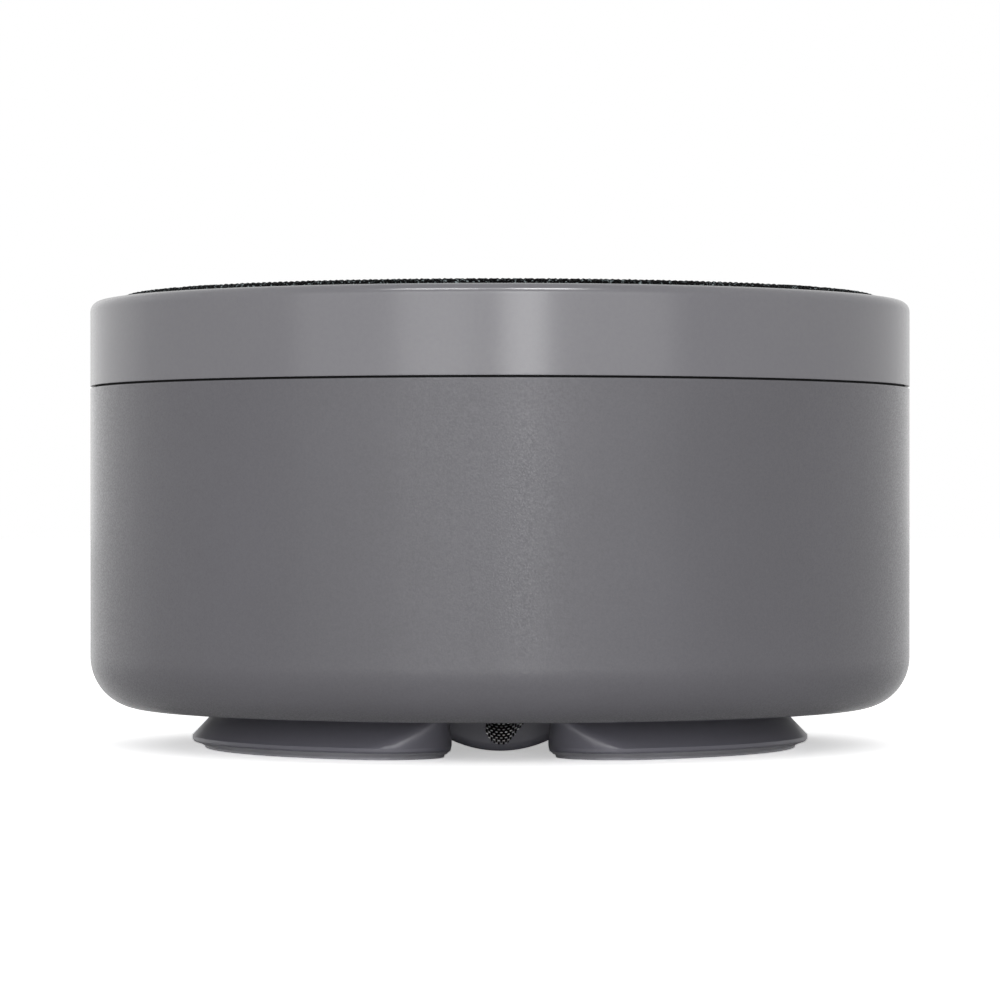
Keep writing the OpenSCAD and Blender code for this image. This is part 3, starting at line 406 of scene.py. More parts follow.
# Grippy grey elastomer of the foot pads
pad_rubber = moulded_rubber("grey_foot_rubber", "a4a3a9", "b0afb5", 0.3, 0.0)
# Black foam and rubber of gaskets and seals
seal_rubber = moulded_rubber("black_seal_foam", "050506", "0b0b0d", 0.9, 0.05)
# Butyl rubber of the roll surround: dull black with a dusty bloom
surround_rubber = moulded_rubber("black_butyl_surround", "101012", "1b1b1e", 0.6)
# Soft thermal silicone: pale blue and chalky
silicone = moulded_rubber("blue_thermal_silicone", "8aa2b6", "a3b9ca", 0.7)
# Knitted acoustic cloth
cloth_knit = knitted_cloth("charcoal_knit", "020203", "0b0c0d", "a2aeb0")
# Blackened wire of the mesh's solid plate, which the woven mesh replaces
mesh_wire = rolled_metal("blackened_steel_wire", "8c8c90", "b4b4b8", 0.3)
# The woven wire in sight: a black coat with a painted highlight on its crests
highlighted_wire = coated_wire("coated_wire_painted_highlights", "09090a", "f2f2f4")
# Painted shade: a black sheet behind the mesh stands for the dark inside of the port and keeps its
# gaps dark
port_shade_sheet = pressed_fibre("black_port_shade_sheet", "050506", "0d0d0f", 0.4)
# Zinc-plated screws: bright, with fine drawn streaks
screw_steel = rolled_metal("zinc_plated_steel", "a3a5a8", "c2c4c6", 0.32)
# Turned soft iron of the magnet's plates: grey with tool streaks
magnet_steel = rolled_metal("turned_soft_iron", "8f9194", "b3b5b8", 0.35)
# Blued steel ballast: a dark, broken shine
ballast_steel = rolled_metal("blued_steel", "55575b", "73767a", 0.45)
# Tin-plated shield can: the brightest of the metals, with rolling streaks
shield_tin = rolled_metal("tin_plated_steel", "b0b2b4", "cfd0d1", 0.25)
# Gold-plated brass of the microphone cans: warm and smooth
mic_gold = rolled_metal("gold_plated_brass", "b48f45", "d9b766", 0.25)
# Pressed ferrite: dull near-black with fine grains
ferrite = pressed_fibre("pressed_ferrite", "1d1e20", "303134", 0.5, 0.6)
# Felted cone paper: matt dark grey with short crossing fibres
cone_paper = pressed_fibre("felted_cone_paper", "2e2f31", "44464a", 0.7)
# Phenolic paper board: brown with a fibrous fleck
terminal_board = pressed_fibre("phenolic_paper_board", "7a5a2c", "9c7641", 0.5, 0.6)
# Enamelled copper: a ridge and a warm shine for every turn
coil_copper = wound_wire("enamelled_copper_wire", "6d2f12", "c87745", 0.2)
# Polyimide film of the former: smooth amber
former_film = woven_sheet("polyimide_former", "9a6f34", "c2924e", 0.8, 0.35)
# Resin-dipped cotton of the spider: matt tan with its threads showing
spider_cotton = woven_sheet("dipped_cotton_spider", "a5813b", "d0aa60", 0.5)
# Polyimide ribbon: glossy amber with faint conductors
ribbon_film = woven_sheet("polyimide_ribbon", "93602a", "b97d3a", 0.5, 0.3)
# Solder mask: gloss green over the relief of the tracks
board_mask = circuit_board("solder_masked_board")
# Moulded chip resin: matt black with a very fine grain
chip_resin = moulded_plastic("chip_moulding_resin", "1a1b1d", "27282b", 0.5, 0.12, 0.01)
# Nylon of the sockets: cream and slightly waxy
socket_nylon = moulded_plastic("cream_nylon", "d2cdbd", "e2ddce", 0.5, 0.2, 0.008)
# PVC jacket of the wires: smooth red
wire_pvc = moulded_plastic("red_pvc_jacket", "7c1717", "932121", 0.35, 0.3, 0.006)
# Satin ABS of the slider: a little paler than the body
slider_abs = moulded_plastic("satin_slider_abs", "76767a", "828286", 0.38, 0.2, 0.004)
# Milky lens of the lights: clouded white
lamp_lens = clear_plastic("milky_lamp_lens", "e9e9e2", 0.2, 0.7)
# Water-clear acrylic of the light guides, with a faint haze
guide_acrylic = clear_plastic("acrylic_light_guide", "dfe6ea", 0.08, 0.0)

SLOT_FINISH = {
    "housing_grey": body_abs, "ring_grey": ring_abs, "seam_rubber": seal_rubber,
    "cloth_black": cloth_knit, "inner_black": inner_abs, "base_grey": base_abs,
    "pad_rubber": pad_rubber, "mesh_wire": mesh_wire, "screw_steel": screw_steel,
    "seal_foam": seal_rubber, "magnet_steel": magnet_steel, "ballast_steel": ballast_steel,
    "ferrite": ferrite, "coil_copper": coil_copper, "former_film": former_film,
    "cone_paper": cone_paper, "surround_rubber": surround_rubber,
    "spider_cloth": spider_cotton, "terminal_board": terminal_board,
    "wire_jacket": wire_pvc, "board_green": board_mask, "chip_black": chip_resin,
    "thermal_silicone": silicone, "shield_tin": shield_tin, "slider_grey": slider_abs,
    "ribbon_amber": ribbon_film, "socket_cream": socket_nylon, "mic_gold": mic_gold,
    "light_white": lamp_lens, "light_clear": guide_acrylic,
}

for part in frame["record"]["subparts"]:
    data = nodes[part["node"]].data
    for i in range(max(1, len(data.materials))):
        if i < len(data.materials):
            data.materials[i] = SLOT_FINISH[part["material_slot"]]
        else:
            data.materials.append(SLOT_FINISH[part["material_slot"]])


# ---- Mesh helpers ----

WELD = 1e-7    # points closer than this, in metres, are one


def mesh_of(name, points, faces, edges=()):
    """A mesh from points in millimetres."""
    mesh = bpy.data.meshes.new(name)
    mesh.from_pydata([Vector(p) * MM for p in points], edges, faces)
    return mesh


def outward(mesh, weld=False):
    """Turns a mesh's faces outwards, after its doubles are merged where asked."""
    work = bmesh.new()
    work.from_mesh(mesh)
    if weld:
        bmesh.ops.remove_doubles(work, verts=work.verts, dist=WELD)
    bmesh.ops.recalc_face_normals(work, faces=work.faces)
    work.to_mesh(mesh)
    work.free()


def placed(name, data):
    """Puts a mesh, lamp or camera in the scene as an object."""
    obj = bpy.data.objects.new(name, data)
    bpy.context.scene.collection.objects.link(obj)
    return obj


def piece(name, points, faces, material, slot, body="housing", sharp=35):
    """A mesh piece from points in millimetres, smooth up to the sharp angle."""
    mesh = mesh_of(name, points, faces)
    outward(mesh, weld=True)
    return dress(placed(name, mesh), material, body, sharp)


def dress(obj, material, body="housing", sharp=35):
    """Gives a piece its shading, material and body."""
    obj.data.shade_smooth()
    obj.data.set_sharp_from_angle(angle=math.radians(sharp))
    obj.data.materials.clear()
    obj.data.materials.append(material)
    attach(obj, body)
    return obj


def flexing(name, node):
    """A copy of a flexing CAD ring, baked where it stands, in place of the CAD ring, which it
    hides."""
    ring = placed(name, nodes[node].data.copy())
    ring.matrix_world = nodes[node].matrix_world.copy()
    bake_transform(ring)
    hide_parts(node)


def arc(centre, radius, start, end, steps):
    """Points on an arc in a plane, from start to end degrees."""
    return [(centre[0] + radius * math.cos(math.radians(a)),
             centre[1] + radius * math.sin(math.radians(a)))
            for a in np.linspace(start, end, steps + 1)]


def lathe(profile, steps=ROUND_STEPS):
    """Points and faces of a closed profile (radius, height) turned about Z."""
    points, faces = [], []
    count = len(profile)
    for i in range(steps):
        c, s = math.cos(TURN * i / steps), math.sin(TURN * i / steps)
        points += [(r * c, r * s, z) for r, z in profile]
    for i in range(steps):
        here, there = i * count, (i + 1) % steps * count
        for k in range(count):
            m = (k + 1) % count
            faces.append((here + k, here + m, there + m, there + k))
    return points, faces


def walls(count, rows):
    """Faces that join rows of count points, each row closed on itself."""
    return [(k * count + i, k * count + (i + 1) % count,
             (k + 1) * count + (i + 1) % count, (k + 1) * count + i)
            for k in range(rows - 1) for i in range(count)]


def prism(outline, y0, y1):
    """Points and faces of an outline (x, z) drawn along Y."""
    n = len(outline)
    points = [(x, y0, z) for x, z in outline] + [(x, y1, z) for x, z in outline]
    return points, [tuple(range(n)), tuple(range(2 * n - 1, n - 1, -1))] + walls(n, 2)


def baked(obj):
    """Puts the object's modifiers into its mesh."""
    depsgraph = bpy.context.evaluated_depsgraph_get()
    mesh = bpy.data.meshes.new_from_object(obj.evaluated_get(depsgraph))
    obj.modifiers.clear()
    old, obj.data = obj.data, mesh
    mesh.name = obj.name
    bpy.data.meshes.remove(old)
    return obj


def cut(obj, outlines, y0, y1):
    """Cuts prisms along Y out of a piece."""
    for k, outline in enumerate(outlines):
        points, faces = prism(outline, y0, y1)
        mesh = mesh_of("cutter", points, faces)
        outward(mesh)
        cutter = placed(f"cutter_{k}", mesh)
        boolean = obj.modifiers.new("cut", "BOOLEAN")
        boolean.operation, boolean.solver, boolean.object = "DIFFERENCE", "EXACT", cutter
        baked(obj)
        bpy.data.objects.remove(cutter)
        bpy.data.meshes.remove(mesh)
    return obj


# ---- Flexing rings of the driver ----
# The surround's lands are glued to the cone and to the basket, the spider's to the
# coil's former and to its seat.

flexing("roll_surround", "surround")
# The spider bends in its inner waves only: the basket floor lies 0.8 mm under the
# rolls, which is less than the cone's travel of 1.5 mm, so the outer waves stay still
# with their seat. An outer land of 4.6 to 6.0 mm clears the floor over the travel.
flexing("corrugated_spider", "spider")


# ---- Body shell and top ring ----

inner_r = BODY_R - WALL
inner_fillet = BODY_FILLET - WALL
floor_z = UNDER_Z + WALL
OPENING_IN = 9    # the floor's opening lies this far inside the cover's edge
opening_r = COVER_R - OPENING_IN
body_profile = [
    (COVER_R + EDGE, UNDER_Z),
    *arc((BODY_R - BODY_FILLET, UNDER_Z + BODY_FILLET), BODY_FILLET, -90, 0, 28),
    (BODY_R, UNDER_Z + BODY_FILLET + HOLD),
    (BODY_R, RIM_Z - EDGE - HOLD),
    *arc((BODY_R - EDGE, RIM_Z - EDGE), EDGE, 0, 90, 5),
    (inner_r, RIM_Z),
    *arc((inner_r - inner_fillet, floor_z + inner_fillet), inner_fillet, 0, -90, 12),
    (opening_r, floor_z),
    (opening_r, UNDER_Z + WALL / 2),
    (COVER_R + EDGE, UNDER_Z + WALL / 2),
]
body_skin = piece("body_skin", *lathe(body_profile), body_abs, "housing_grey")
inlet_x = (socket_low.x + socket_high.x) / 2
inlet_z = (socket_low.z + socket_high.z) / 2
inlet_half = (socket_high.x - socket_low.x) / 2 + EDGE
inlet_r = (socket_high.z - socket_low.z) / 2 + EDGE
inlet_outline = (arc((inlet_x + inlet_half - inlet_r, inlet_z), inlet_r, -90, 90, 20)
                 + arc((inlet_x - inlet_half + inlet_r, inlet_z), inlet_r, 90, 270, 20))
MUTE_TRAVEL = 2.0
MUTE_GAP = 0.35
mute_x0 = slider_low.x - MUTE_TRAVEL - MUTE_GAP
mute_x1 = slider_high.x + MUTE_GAP
mute_z0, mute_z1 = slider_low.z - MUTE_GAP, slider_high.z + MUTE_GAP
MUTE_R = 0.5
mute_outline = (arc((mute_x1 - MUTE_R, mute_z1 - MUTE_R), MUTE_R, 0, 90, 6)
                + arc((mute_x0 + MUTE_R, mute_z1 - MUTE_R), MUTE_R, 90, 180, 6)
                + arc((mute_x0 + MUTE_R, mute_z0 + MUTE_R), MUTE_R, 180, 270, 6)
                + arc((mute_x1 - MUTE_R, mute_z0 + MUTE_R), MUTE_R, 270, 360, 6))
CUT_FROM, CUT_TO = 40, 54    # along Y, through the back wall only
cut(body_skin, [inlet_outline, mute_outline], CUT_FROM, CUT_TO)
dress(body_skin, body_abs)
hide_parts("body_shell")

SEAT_R = CLOTH_R + 0.15
SEAT_Z = RING_TOP - 1.25
LEDGE_R = CLOTH_R - 2.1
LEDGE_Z = SEAT_Z - 1.6
SPIGOT_R = inner_r - 0.2
SPIGOT_IN_R = SPIGOT_R - 1.4
BAND_IN_R = BODY_R - 3
BAND_FOOT_Z = RING_Z + 2.2    # where the spigot widens into the ring's band
ring_profile = [
    (SPIGOT_IN_R, ring_low.z),
    (SPIGOT_R, ring_low.z),
    (SPIGOT_R, RING_Z),
    *arc((BODY_R - SEAM_EDGE, RING_Z + SEAM_EDGE), SEAM_EDGE, -90, 0, 5),
    (BODY_R, RING_Z + SEAM_EDGE + HOLD),
    (BODY_R, RING_TOP - RING_FILLET - HOLD),
    *arc((BODY_R - RING_FILLET, RING_TOP - RING_FILLET), RING_FILLET, 0, 90, 14),
    *arc((SEAT_R + EDGE, RING_TOP - EDGE), EDGE, 90, 180, 5),
    (SEAT_R, SEAT_Z),
    (LEDGE_R, SEAT_Z),
    (LEDGE_R, LEDGE_Z),
    (BAND_IN_R, LEDGE_Z),
    (BAND_IN_R, BAND_FOOT_Z),
    (SPIGOT_IN_R, BAND_FOOT_Z),
]
ring_skin = piece("ring_skin", *lathe(ring_profile), ring_abs, "ring_grey")
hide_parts("top_ring")


# ---- Knitted top cloth ----

WALE = 1.3      # width of one column of stitches
COURSE = 1.05   # height of one row of stitches
KNIT_RELIEF = 0.14
CLOTH_CROWN = 0.8
CLOTH_THICK = 0.9
CLOTH_CELLS = 288


def knit_height(u, v):
    """Relief of the knit, from 0 in a gap to 1 on a yarn, as in its material."""
    across = 0.5 - np.abs(u % 1 - 0.5)
    leg = 1 - (4 * across - 1) ** 2
    slant = v + LEG_SLANT * across
    course = 0.5 - np.abs(slant % 1 - 0.5)
    return leg * (1 - LOOP_DEPTH * (4 * course - 1) ** 2)


def knit_cloth():
    """The stretched cloth: an even grid laid on the disc, turned down over its
    rounded edge into a short skirt and closed underneath."""
    n = CLOTH_CELLS
    side = np.linspace(-1, 1, n + 1)
    a, b = np.meshgrid(side, side, indexing="ij")
    # Square to disc with even cells
    big = np.where(np.abs(a) > np.abs(b), a, b)
    small = np.where(np.abs(a) > np.abs(b), b, a)
    safe = np.where(big == 0, 1, big)
    angle = np.where(np.abs(a) > np.abs(b), math.pi / 4 * small / safe,
                     math.pi / 2 - math.pi / 4 * small / safe)
    flat_r = CLOTH_R - CLOTH_CROWN
    down = CLOTH_CROWN * math.pi / 2
    skirt = (CLOTH_TOP - CLOTH_CROWN) - cloth_low.z
    reach = flat_r + down + skirt
    s = np.abs(big) * reach
    cx, cy = np.sign(big) * np.cos(angle), np.sign(big) * np.sin(angle)
    bend = np.clip((s - flat_r) / CLOTH_CROWN, 0, math.pi / 2)
    fall = np.clip(s - flat_r - down, 0, None)
    radius = np.minimum(s, flat_r) + CLOTH_CROWN * np.sin(bend)
    height = CLOTH_TOP - CLOTH_CROWN * (1 - np.cos(bend)) - fall
    u, v = cx * s / WALE, cy * s / COURSE
    sink = KNIT_RELIEF * (1 - knit_height(u, v)) * np.clip((reach - s) / skirt, 0, 1)
    radius = radius - sink * np.sin(bend)
    height = height - sink * np.cos(bend)
    top = np.stack([cx * radius, cy * radius, height], axis=-1).reshape(-1, 3)
    index = np.arange((n + 1) ** 2).reshape(n + 1, n + 1)
    faces = np.stack([index[:-1, :-1], index[1:, :-1], index[1:, 1:], index[:-1, 1:]],
                     axis=-1).reshape(-1, 4).tolist()
    # Underside: a coarse copy of the rim drawn in to the middle
    rim = ([*index[0, :]] + [*index[1:, n]] + [*index[n, n - 1::-1]] + [*index[n - 1:0:-1, 0]])
    points = top.tolist()
    uv = np.stack([u, v], axis=-1).reshape(-1, 2).tolist()
    ring = list(rim)
    inner_z = CLOTH_TOP - CLOTH_THICK
    for share, z in ((0.985, cloth_low.z), (0.985, inner_z), (0.5, inner_z)):
        new = []
        for i in rim:
            new.append(len(points))
            points.append([points[i][0] * share, points[i][1] * share, z])
            uv.append([uv[i][0] * share, uv[i][1] * share])
        m = len(rim)
        faces += [(ring[k], new[k], new[(k + 1) % m], ring[(k + 1) % m]) for k in range(m)]
        ring = new
    points.append([0, 0, inner_z])
    uv.append([0, 0])
    m = len(ring)
    faces += [(ring[k], len(points) - 1, ring[(k + 1) % m]) for k in range(m)]
    mesh = mesh_of("knit_cloth", points, faces)
    layer = mesh.uv_layers.new(name="stitches")
    corners = np.empty(len(mesh.loops), dtype=np.int32)
    mesh.loops.foreach_get("vertex_index", corners)
    layer.data.foreach_set("uv", np.array(uv)[corners].ravel())
    outward(mesh)
    obj = placed("knit_cloth", mesh)
    dress(obj, cloth_knit, sharp=70)
    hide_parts("top_cloth")
    return obj


knit_cloth()


# ---- Feet and pads ----

FOOT_HALF_GAP = 5.7
FOOT_TOP_R = COVER_R + 1.4
FOOT_LIP_R = FOOT_TOP_R + 3.2
FOOT_IN_R = FOOT_TOP_R - 14.4
CORNER_TOP = 1.6
CORNER_LIP = 7.2
LIP_Z = 0.95
LIP_T = 0.5
PAD_INSET = 1.5
PAD_SIDE = 0.8
PAD_CORNER = 7.0
RIM_W = 0.35
PALE_RIM_TOP = 0.84    # below this height the foot's sloping rim takes the pale pad rubber: a painted reflection of the lit floor


def foot_outline(r_out, corner, half_gap, r_in):
    """Outline of one foot round +X: two walls along its gaps, two rounded outer
    corners, an outer arc and an inner arc, always with the same points."""
    v = half_gap + corner
    u = math.sqrt((r_out - corner) ** 2 - v * v)
    tilt = math.radians(60)

    def place(p, q, side):
        """From the frame of the gap at side * 60 degrees to the foot's own."""
        return (p * math.cos(tilt) - q * math.sin(tilt),
                side * (p * math.sin(tilt) + q * math.cos(tilt)))

    touch = math.degrees(math.atan2(-v, u))
    corner_pts = [(u + corner * math.cos(math.radians(a)), -v + corner * math.sin(math.radians(a)))
                  for a in np.linspace(90, touch, 17)]
    u_in = math.sqrt(r_in ** 2 - half_gap ** 2)
    wall = [(u_in + (corner_pts[0][0] - u_in) * t, -half_gap) for t in np.linspace(0, 1, 7)[:-1]]
    upper = [place(p, q, 1) for p, q in wall + corner_pts]
    lower = [place(p, q, -1) for p, q in wall + corner_pts]
    start = math.degrees(math.atan2(upper[-1][1], upper[-1][0]))
    outer = arc((0, 0), r_out, -start, start, 40)[1:-1]
    inner_at = math.degrees(math.atan2(upper[0][1], upper[0][0]))
    inner = arc((0, 0), r_in, inner_at, -inner_at, 24)[1:-1]
    return lower + outer + upper[::-1] + inner


def loft(levels):
    """Points and faces that join outlines of the same points, closed at both
    ends. Each level is (outline, height)."""
    n = len(levels[0][0])
    points = [(x, y, z) for outline, z in levels for x, y in outline]
    faces = walls(n, len(levels))
    faces.append(tuple(range(n)))
    faces.append(tuple(range(len(points) - 1, len(points) - n - 1, -1)))
    return points, faces


def turned(points, degrees):
    """The points, turned about Z."""
    c, s = math.cos(math.radians(degrees)), math.sin(math.radians(degrees))
    return [(x * c - y * s, x * s + y * c, z) for x, y, z in points]


def foot_levels():
    """The foot from its top down: a flared flank, a thin upright lip with
    rounded edges, a fine groove and a rim that slopes in to the pad."""
    levels = []
    for t in np.linspace(0, 1, 9):
        r = FOOT_TOP_R + (FOOT_LIP_R - FOOT_TOP_R) * t
        corner = CORNER_TOP + (CORNER_LIP - CORNER_TOP) * t
        z = UNDER_Z + (LIP_Z + LIP_T - UNDER_Z) * t
        levels.append((foot_outline(r, corner, FOOT_HALF_GAP + 0.4 * (1 - t), FOOT_IN_R), z))
    rim_in, rim_side = PAD_INSET - RIM_W, PAD_SIDE - RIM_W
    rim_corner = PAD_CORNER + RIM_W
    # share of the way in from the lip to the pad's rim, and height
    for share, z in ((0.005, 1.42), (0.01, 1.36), (0.01, 1.06), (0.02, 1.01), (0.06, 0.98),
                     (0.1, 0.965), (0.16, 0.93), (0.165, 0.88), (0.12, 0.86), (0.1, 0.84),
                     (0.13, 0.81), (0.2, 0.78), (0.9, 0.5), (0.98, 0.45), (1.0, 0.41), (1.03, 0.4),
                     (1.22, 0.4), (1.22, 0.9)):
        levels.append((foot_outline(FOOT_LIP_R - rim_in * share,
                                    CORNER_LIP + (rim_corner - CORNER_LIP) * share,
                                    FOOT_HALF_GAP + rim_side * share,
                                    FOOT_IN_R + min(share, 1)), z))
    return levels


def pad_levels():
    """The pad from its hidden top down to the floor, with two fine grooves round it."""
    return [(foot_outline(FOOT_LIP_R - PAD_INSET - inset, PAD_CORNER - inset,
                          FOOT_HALF_GAP + PAD_SIDE + inset, FOOT_IN_R + PAD_INSET + inset), z)
            for inset, z in ((0.0, 1.6), (0.0, 0.37), (0.03, 0.34), (0.07, 0.31), (0.02, 0.28),
                             (0.0, 0.25), (0.0, 0.17), (0.02, 0.15), (0.06, 0.13), (0.02, 0.11),
                             (0.0, 0.09), (0.0, 0.04), (0.03, 0.0))]


for side, angle in (("front_left", 210), ("front_right", 330), ("rear", 90)):
    points, faces = loft(foot_levels())
    foot = piece(f"foot_skin_{side}", turned(points, angle), faces, base_abs, "base_grey",
                 sharp=30)
    # Painted reflection: the rim under the lip is drawn in the pale pad rubber, standing for the
    # lit floor it mirrors
    foot.data.materials.append(pad_rubber)
    for face in foot.data.polygons:
        face.material_index = int(face.center.z < PALE_RIM_TOP * MM)
    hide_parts(f"foot_{side}")
    points, faces = loft(pad_levels())
    pad = piece(f"pad_skin_{side}", turned(points, angle), faces, pad_rubber, "pad_rubber",
                sharp=30)
    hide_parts(f"pad_{side}")


# ---- Port pod and its woven mesh ----

POD_R = 13.75
POD_ROUND = 1.0
pod_axis_z = pod_low.z + POD_R
pod_front, pod_back = pod_low.y, 9.0


def port_pod():
    """A barrel on its side with rounded ends, of which the body covers the top."""
    profile = ([(0.0, pod_front)]
               + arc((POD_R - POD_ROUND, pod_front + POD_ROUND), POD_ROUND, -90, 0, 10)
               + arc((POD_R - POD_ROUND, pod_back - POD_ROUND), POD_ROUND, 0, 90, 10)
               + [(0.0, pod_back)])
    reach = math.acos((pod_axis_z - UNDER_Z - 0.02) / POD_R)
    steps, count = 72, len(profile)
    points, faces = [], []
    for i in range(steps + 1):
        a = -reach + 2 * reach * i / steps
        points += [(r * math.sin(a), y, pod_axis_z - r * math.cos(a)) for r, y in profile]
    for i in range(steps):
        for k in range(count - 1):
            here, there = i * count + k, (i + 1) * count + k
            faces.append((here, here + 1, there + 1, there))
    mesh = mesh_of("pod_skin", points, faces)
    work = bmesh.new()
    work.from_mesh(mesh)
    bmesh.ops.remove_doubles(work, verts=work.verts, dist=WELD)
    # Level the top where the body's underside covers it
    cut_at = Vector((0, 0, (UNDER_Z + 0.3) * MM))
    bmesh.ops.bisect_plane(work, geom=[*work.verts, *work.edges, *work.faces], plane_co=cut_at,
                           plane_no=(0, 0, 1), clear_outer=True)
    edges = [e for e in work.edges if e.is_boundary]
    bmesh.ops.holes_fill(work, edges=edges, sides=0)
    bmesh.ops.recalc_face_normals(work, faces=work.faces)
    work.to_mesh(mesh)
    work.free()
    # The pod's paler colour is painted light against the shade under the body
    return dress(placed("pod_skin", mesh), lightened_pod_abs)


pod_skin = port_pod()
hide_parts("port_pod")

WIRE_RISE = 0.33
WIRE_STEP = 0.285
WIRE_SAG = 0.18
WIRE_R = 0.085
WIRE_SIDES = 8
WEAVE_LOW = 0.12          # the first row's height over the foot of the mouth
BEND_POINTS = 8           # points of a wire from one crossing to the next
COLUMNS, ROWS = (-9, 13), (-9, 14)    # enough wires to pass the mouth on every side
WIRE_BITE = 0.9           # how far a wire rises over the next, in wire radii
DOME = 0.35
MOUTH = (0.15, UNDER_Z - 1.9, 1.9)
MOUTH_TIP = (3.1, UNDER_Z - 0.6, 0.3)


def mouth_outline(inset):
    """Outline (x, z) of the mesh window: a round mouth drawn out to one side."""
    big, small = (*MOUTH[:2], MOUTH[2] - inset), (*MOUTH_TIP[:2], MOUTH_TIP[2] - inset)
    dx, dz = small[0] - big[0], small[1] - big[1]
    along = math.degrees(math.atan2(dz, dx))
    open_by = math.degrees(math.acos((big[2] - small[2]) / math.hypot(dx, dz)))
    return (arc(big[:2], big[2], along + open_by, along + 360 - open_by, 36)
            + arc(small[:2], small[2], along - open_by, along + open_by, 12))


def inside(x, z, inset):
    """Whether a point lies in the window."""
    big, small = (*MOUTH[:2], MOUTH[2] - inset), (*MOUTH_TIP[:2], MOUTH_TIP[2] - inset)
    dx, dz = small[0] - big[0], small[1] - big[1]
    t = np.clip(((x - big[0]) * dx + (z - big[1]) * dz) / (dx * dx + dz * dz), 0, 1)
    return math.hypot(x - big[0] - t * dx, z - big[1] - t * dz) <= big[2] + (small[2] - big[2]) * t


def dome_y(x, z):
    """Depth of the mesh: bulged forward in the middle of the mouth."""
    d = math.hypot(x - MOUTH[0], z - MOUTH[1]) / MOUTH[2]
    return pod_front - DOME * max(0.0, 1 - d * d)


def weave_paths():
    """Polylines of the crossing wires, each rising over one and under the next:
    one set sags across the mouth like smiles, the other runs straight down. The
    third list gives each point's painted highlight: how bright its crest is drawn,
    on the sagging set only."""
    points, edges, crests = [], [], []

    def run(places):
        last = None
        for x, z, lift, crest in places:
            if not inside(x, z, 0.02):
                last = None
                continue
            points.append((x, dome_y(x, z) - lift * WIRE_R * WIRE_BITE, z))
            crests.append(crest)
            if last is not None:
                edges.append((last, len(points) - 1))
            last = len(points) - 1

    low = MOUTH[1] - MOUTH[2]
    for k in range(*ROWS):
        places = []
        for j in range(COLUMNS[0] * BEND_POINTS, COLUMNS[1] * BEND_POINTS + 1):
            dx = j / BEND_POINTS * WIRE_STEP
            z = low + WEAVE_LOW + k * WIRE_RISE + WIRE_SAG * dx * dx
            lift = math.cos(math.pi * (j / BEND_POINTS + k))
            places.append((MOUTH[0] + dx, z, lift, max(0.0, lift) ** 0.7))
        run(places)
    for j in range(*COLUMNS):
        dx = j * WIRE_STEP
        places = []
        for t in range(ROWS[0] * BEND_POINTS, ROWS[1] * BEND_POINTS + 1):
            z = low + WEAVE_LOW + t / BEND_POINTS * WIRE_RISE + WIRE_SAG * dx * dx
            lift = -math.cos(math.pi * (j + t / BEND_POINTS))
            places.append((MOUTH[0] + dx, z, lift, 0.0))
        run(places)
    return points, edges, crests


def wire_tree():
    """Draws a round wire along every polyline."""
    tree = bpy.data.node_groups.new("draw_wire", "GeometryNodeTree")
    face = tree.interface
    face.new_socket("Paths", in_out="INPUT", socket_type="NodeSocketGeometry")
    radius = face.new_socket("Wire radius", in_out="INPUT", socket_type="NodeSocketFloat")
    sides = face.new_socket("Wire sides", in_out="INPUT", socket_type="NodeSocketInt")
    finish = face.new_socket("Finish", in_out="INPUT", socket_type="NodeSocketMaterial")
    face.new_socket("Mesh", in_out="OUTPUT", socket_type="NodeSocketGeometry")
    given = add(tree, "NodeGroupInput")
    curve = add(tree, "GeometryNodeMeshToCurve", {0: given.outputs["Paths"]})
    circle = add(tree, "GeometryNodeCurvePrimitiveCircle",
                 {"Resolution": given.outputs["Wire sides"],
                  "Radius": given.outputs["Wire radius"]})
    tube = add(tree, "GeometryNodeCurveToMesh",
               {"Curve": curve.outputs[0], "Profile Curve": circle.outputs[0], "Fill Caps": True})
    real = add(tree, "GeometryNodeRealizeInstances", {0: tube.outputs[0]})
    dressed = add(tree, "GeometryNodeSetMaterial",
                  {"Geometry": real.outputs[0], "Material": given.outputs["Finish"]})
    add(tree, "NodeGroupOutput", {0: dressed.outputs[0]})
    return tree, {"radius": radius.identifier, "sides": sides.identifier,
                  "finish": finish.identifier}


def port_weave():
    """The woven wire mesh in the pod's mouth."""
    points, edges, crests = weave_paths()
    mesh = mesh_of("port_weave", points, [], edges)
    mesh.attributes.new("crest", "FLOAT", "POINT").data.foreach_set("value", crests)
    obj = placed("port_weave", mesh)
    tree, sockets = wire_tree()
    drawing = obj.modifiers.new("draw_wire", "NODES")
    drawing.node_group = tree
    drawing[sockets["radius"]] = WIRE_R * MM
    drawing[sockets["sides"]] = WIRE_SIDES
    drawing[sockets["finish"]] = highlighted_wire
    baked(obj)
    dress(obj, highlighted_wire)
    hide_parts("port_mesh")
    return obj


port_weave()


SHADE_SHEET_BACK = 0.16         # the dark sheet's face lies this far behind the mesh
SHADE_SHEET_EDGE_BACK = 0.1     # and its edge this much further back
SHADE_SHEET_DEEP = 0.5


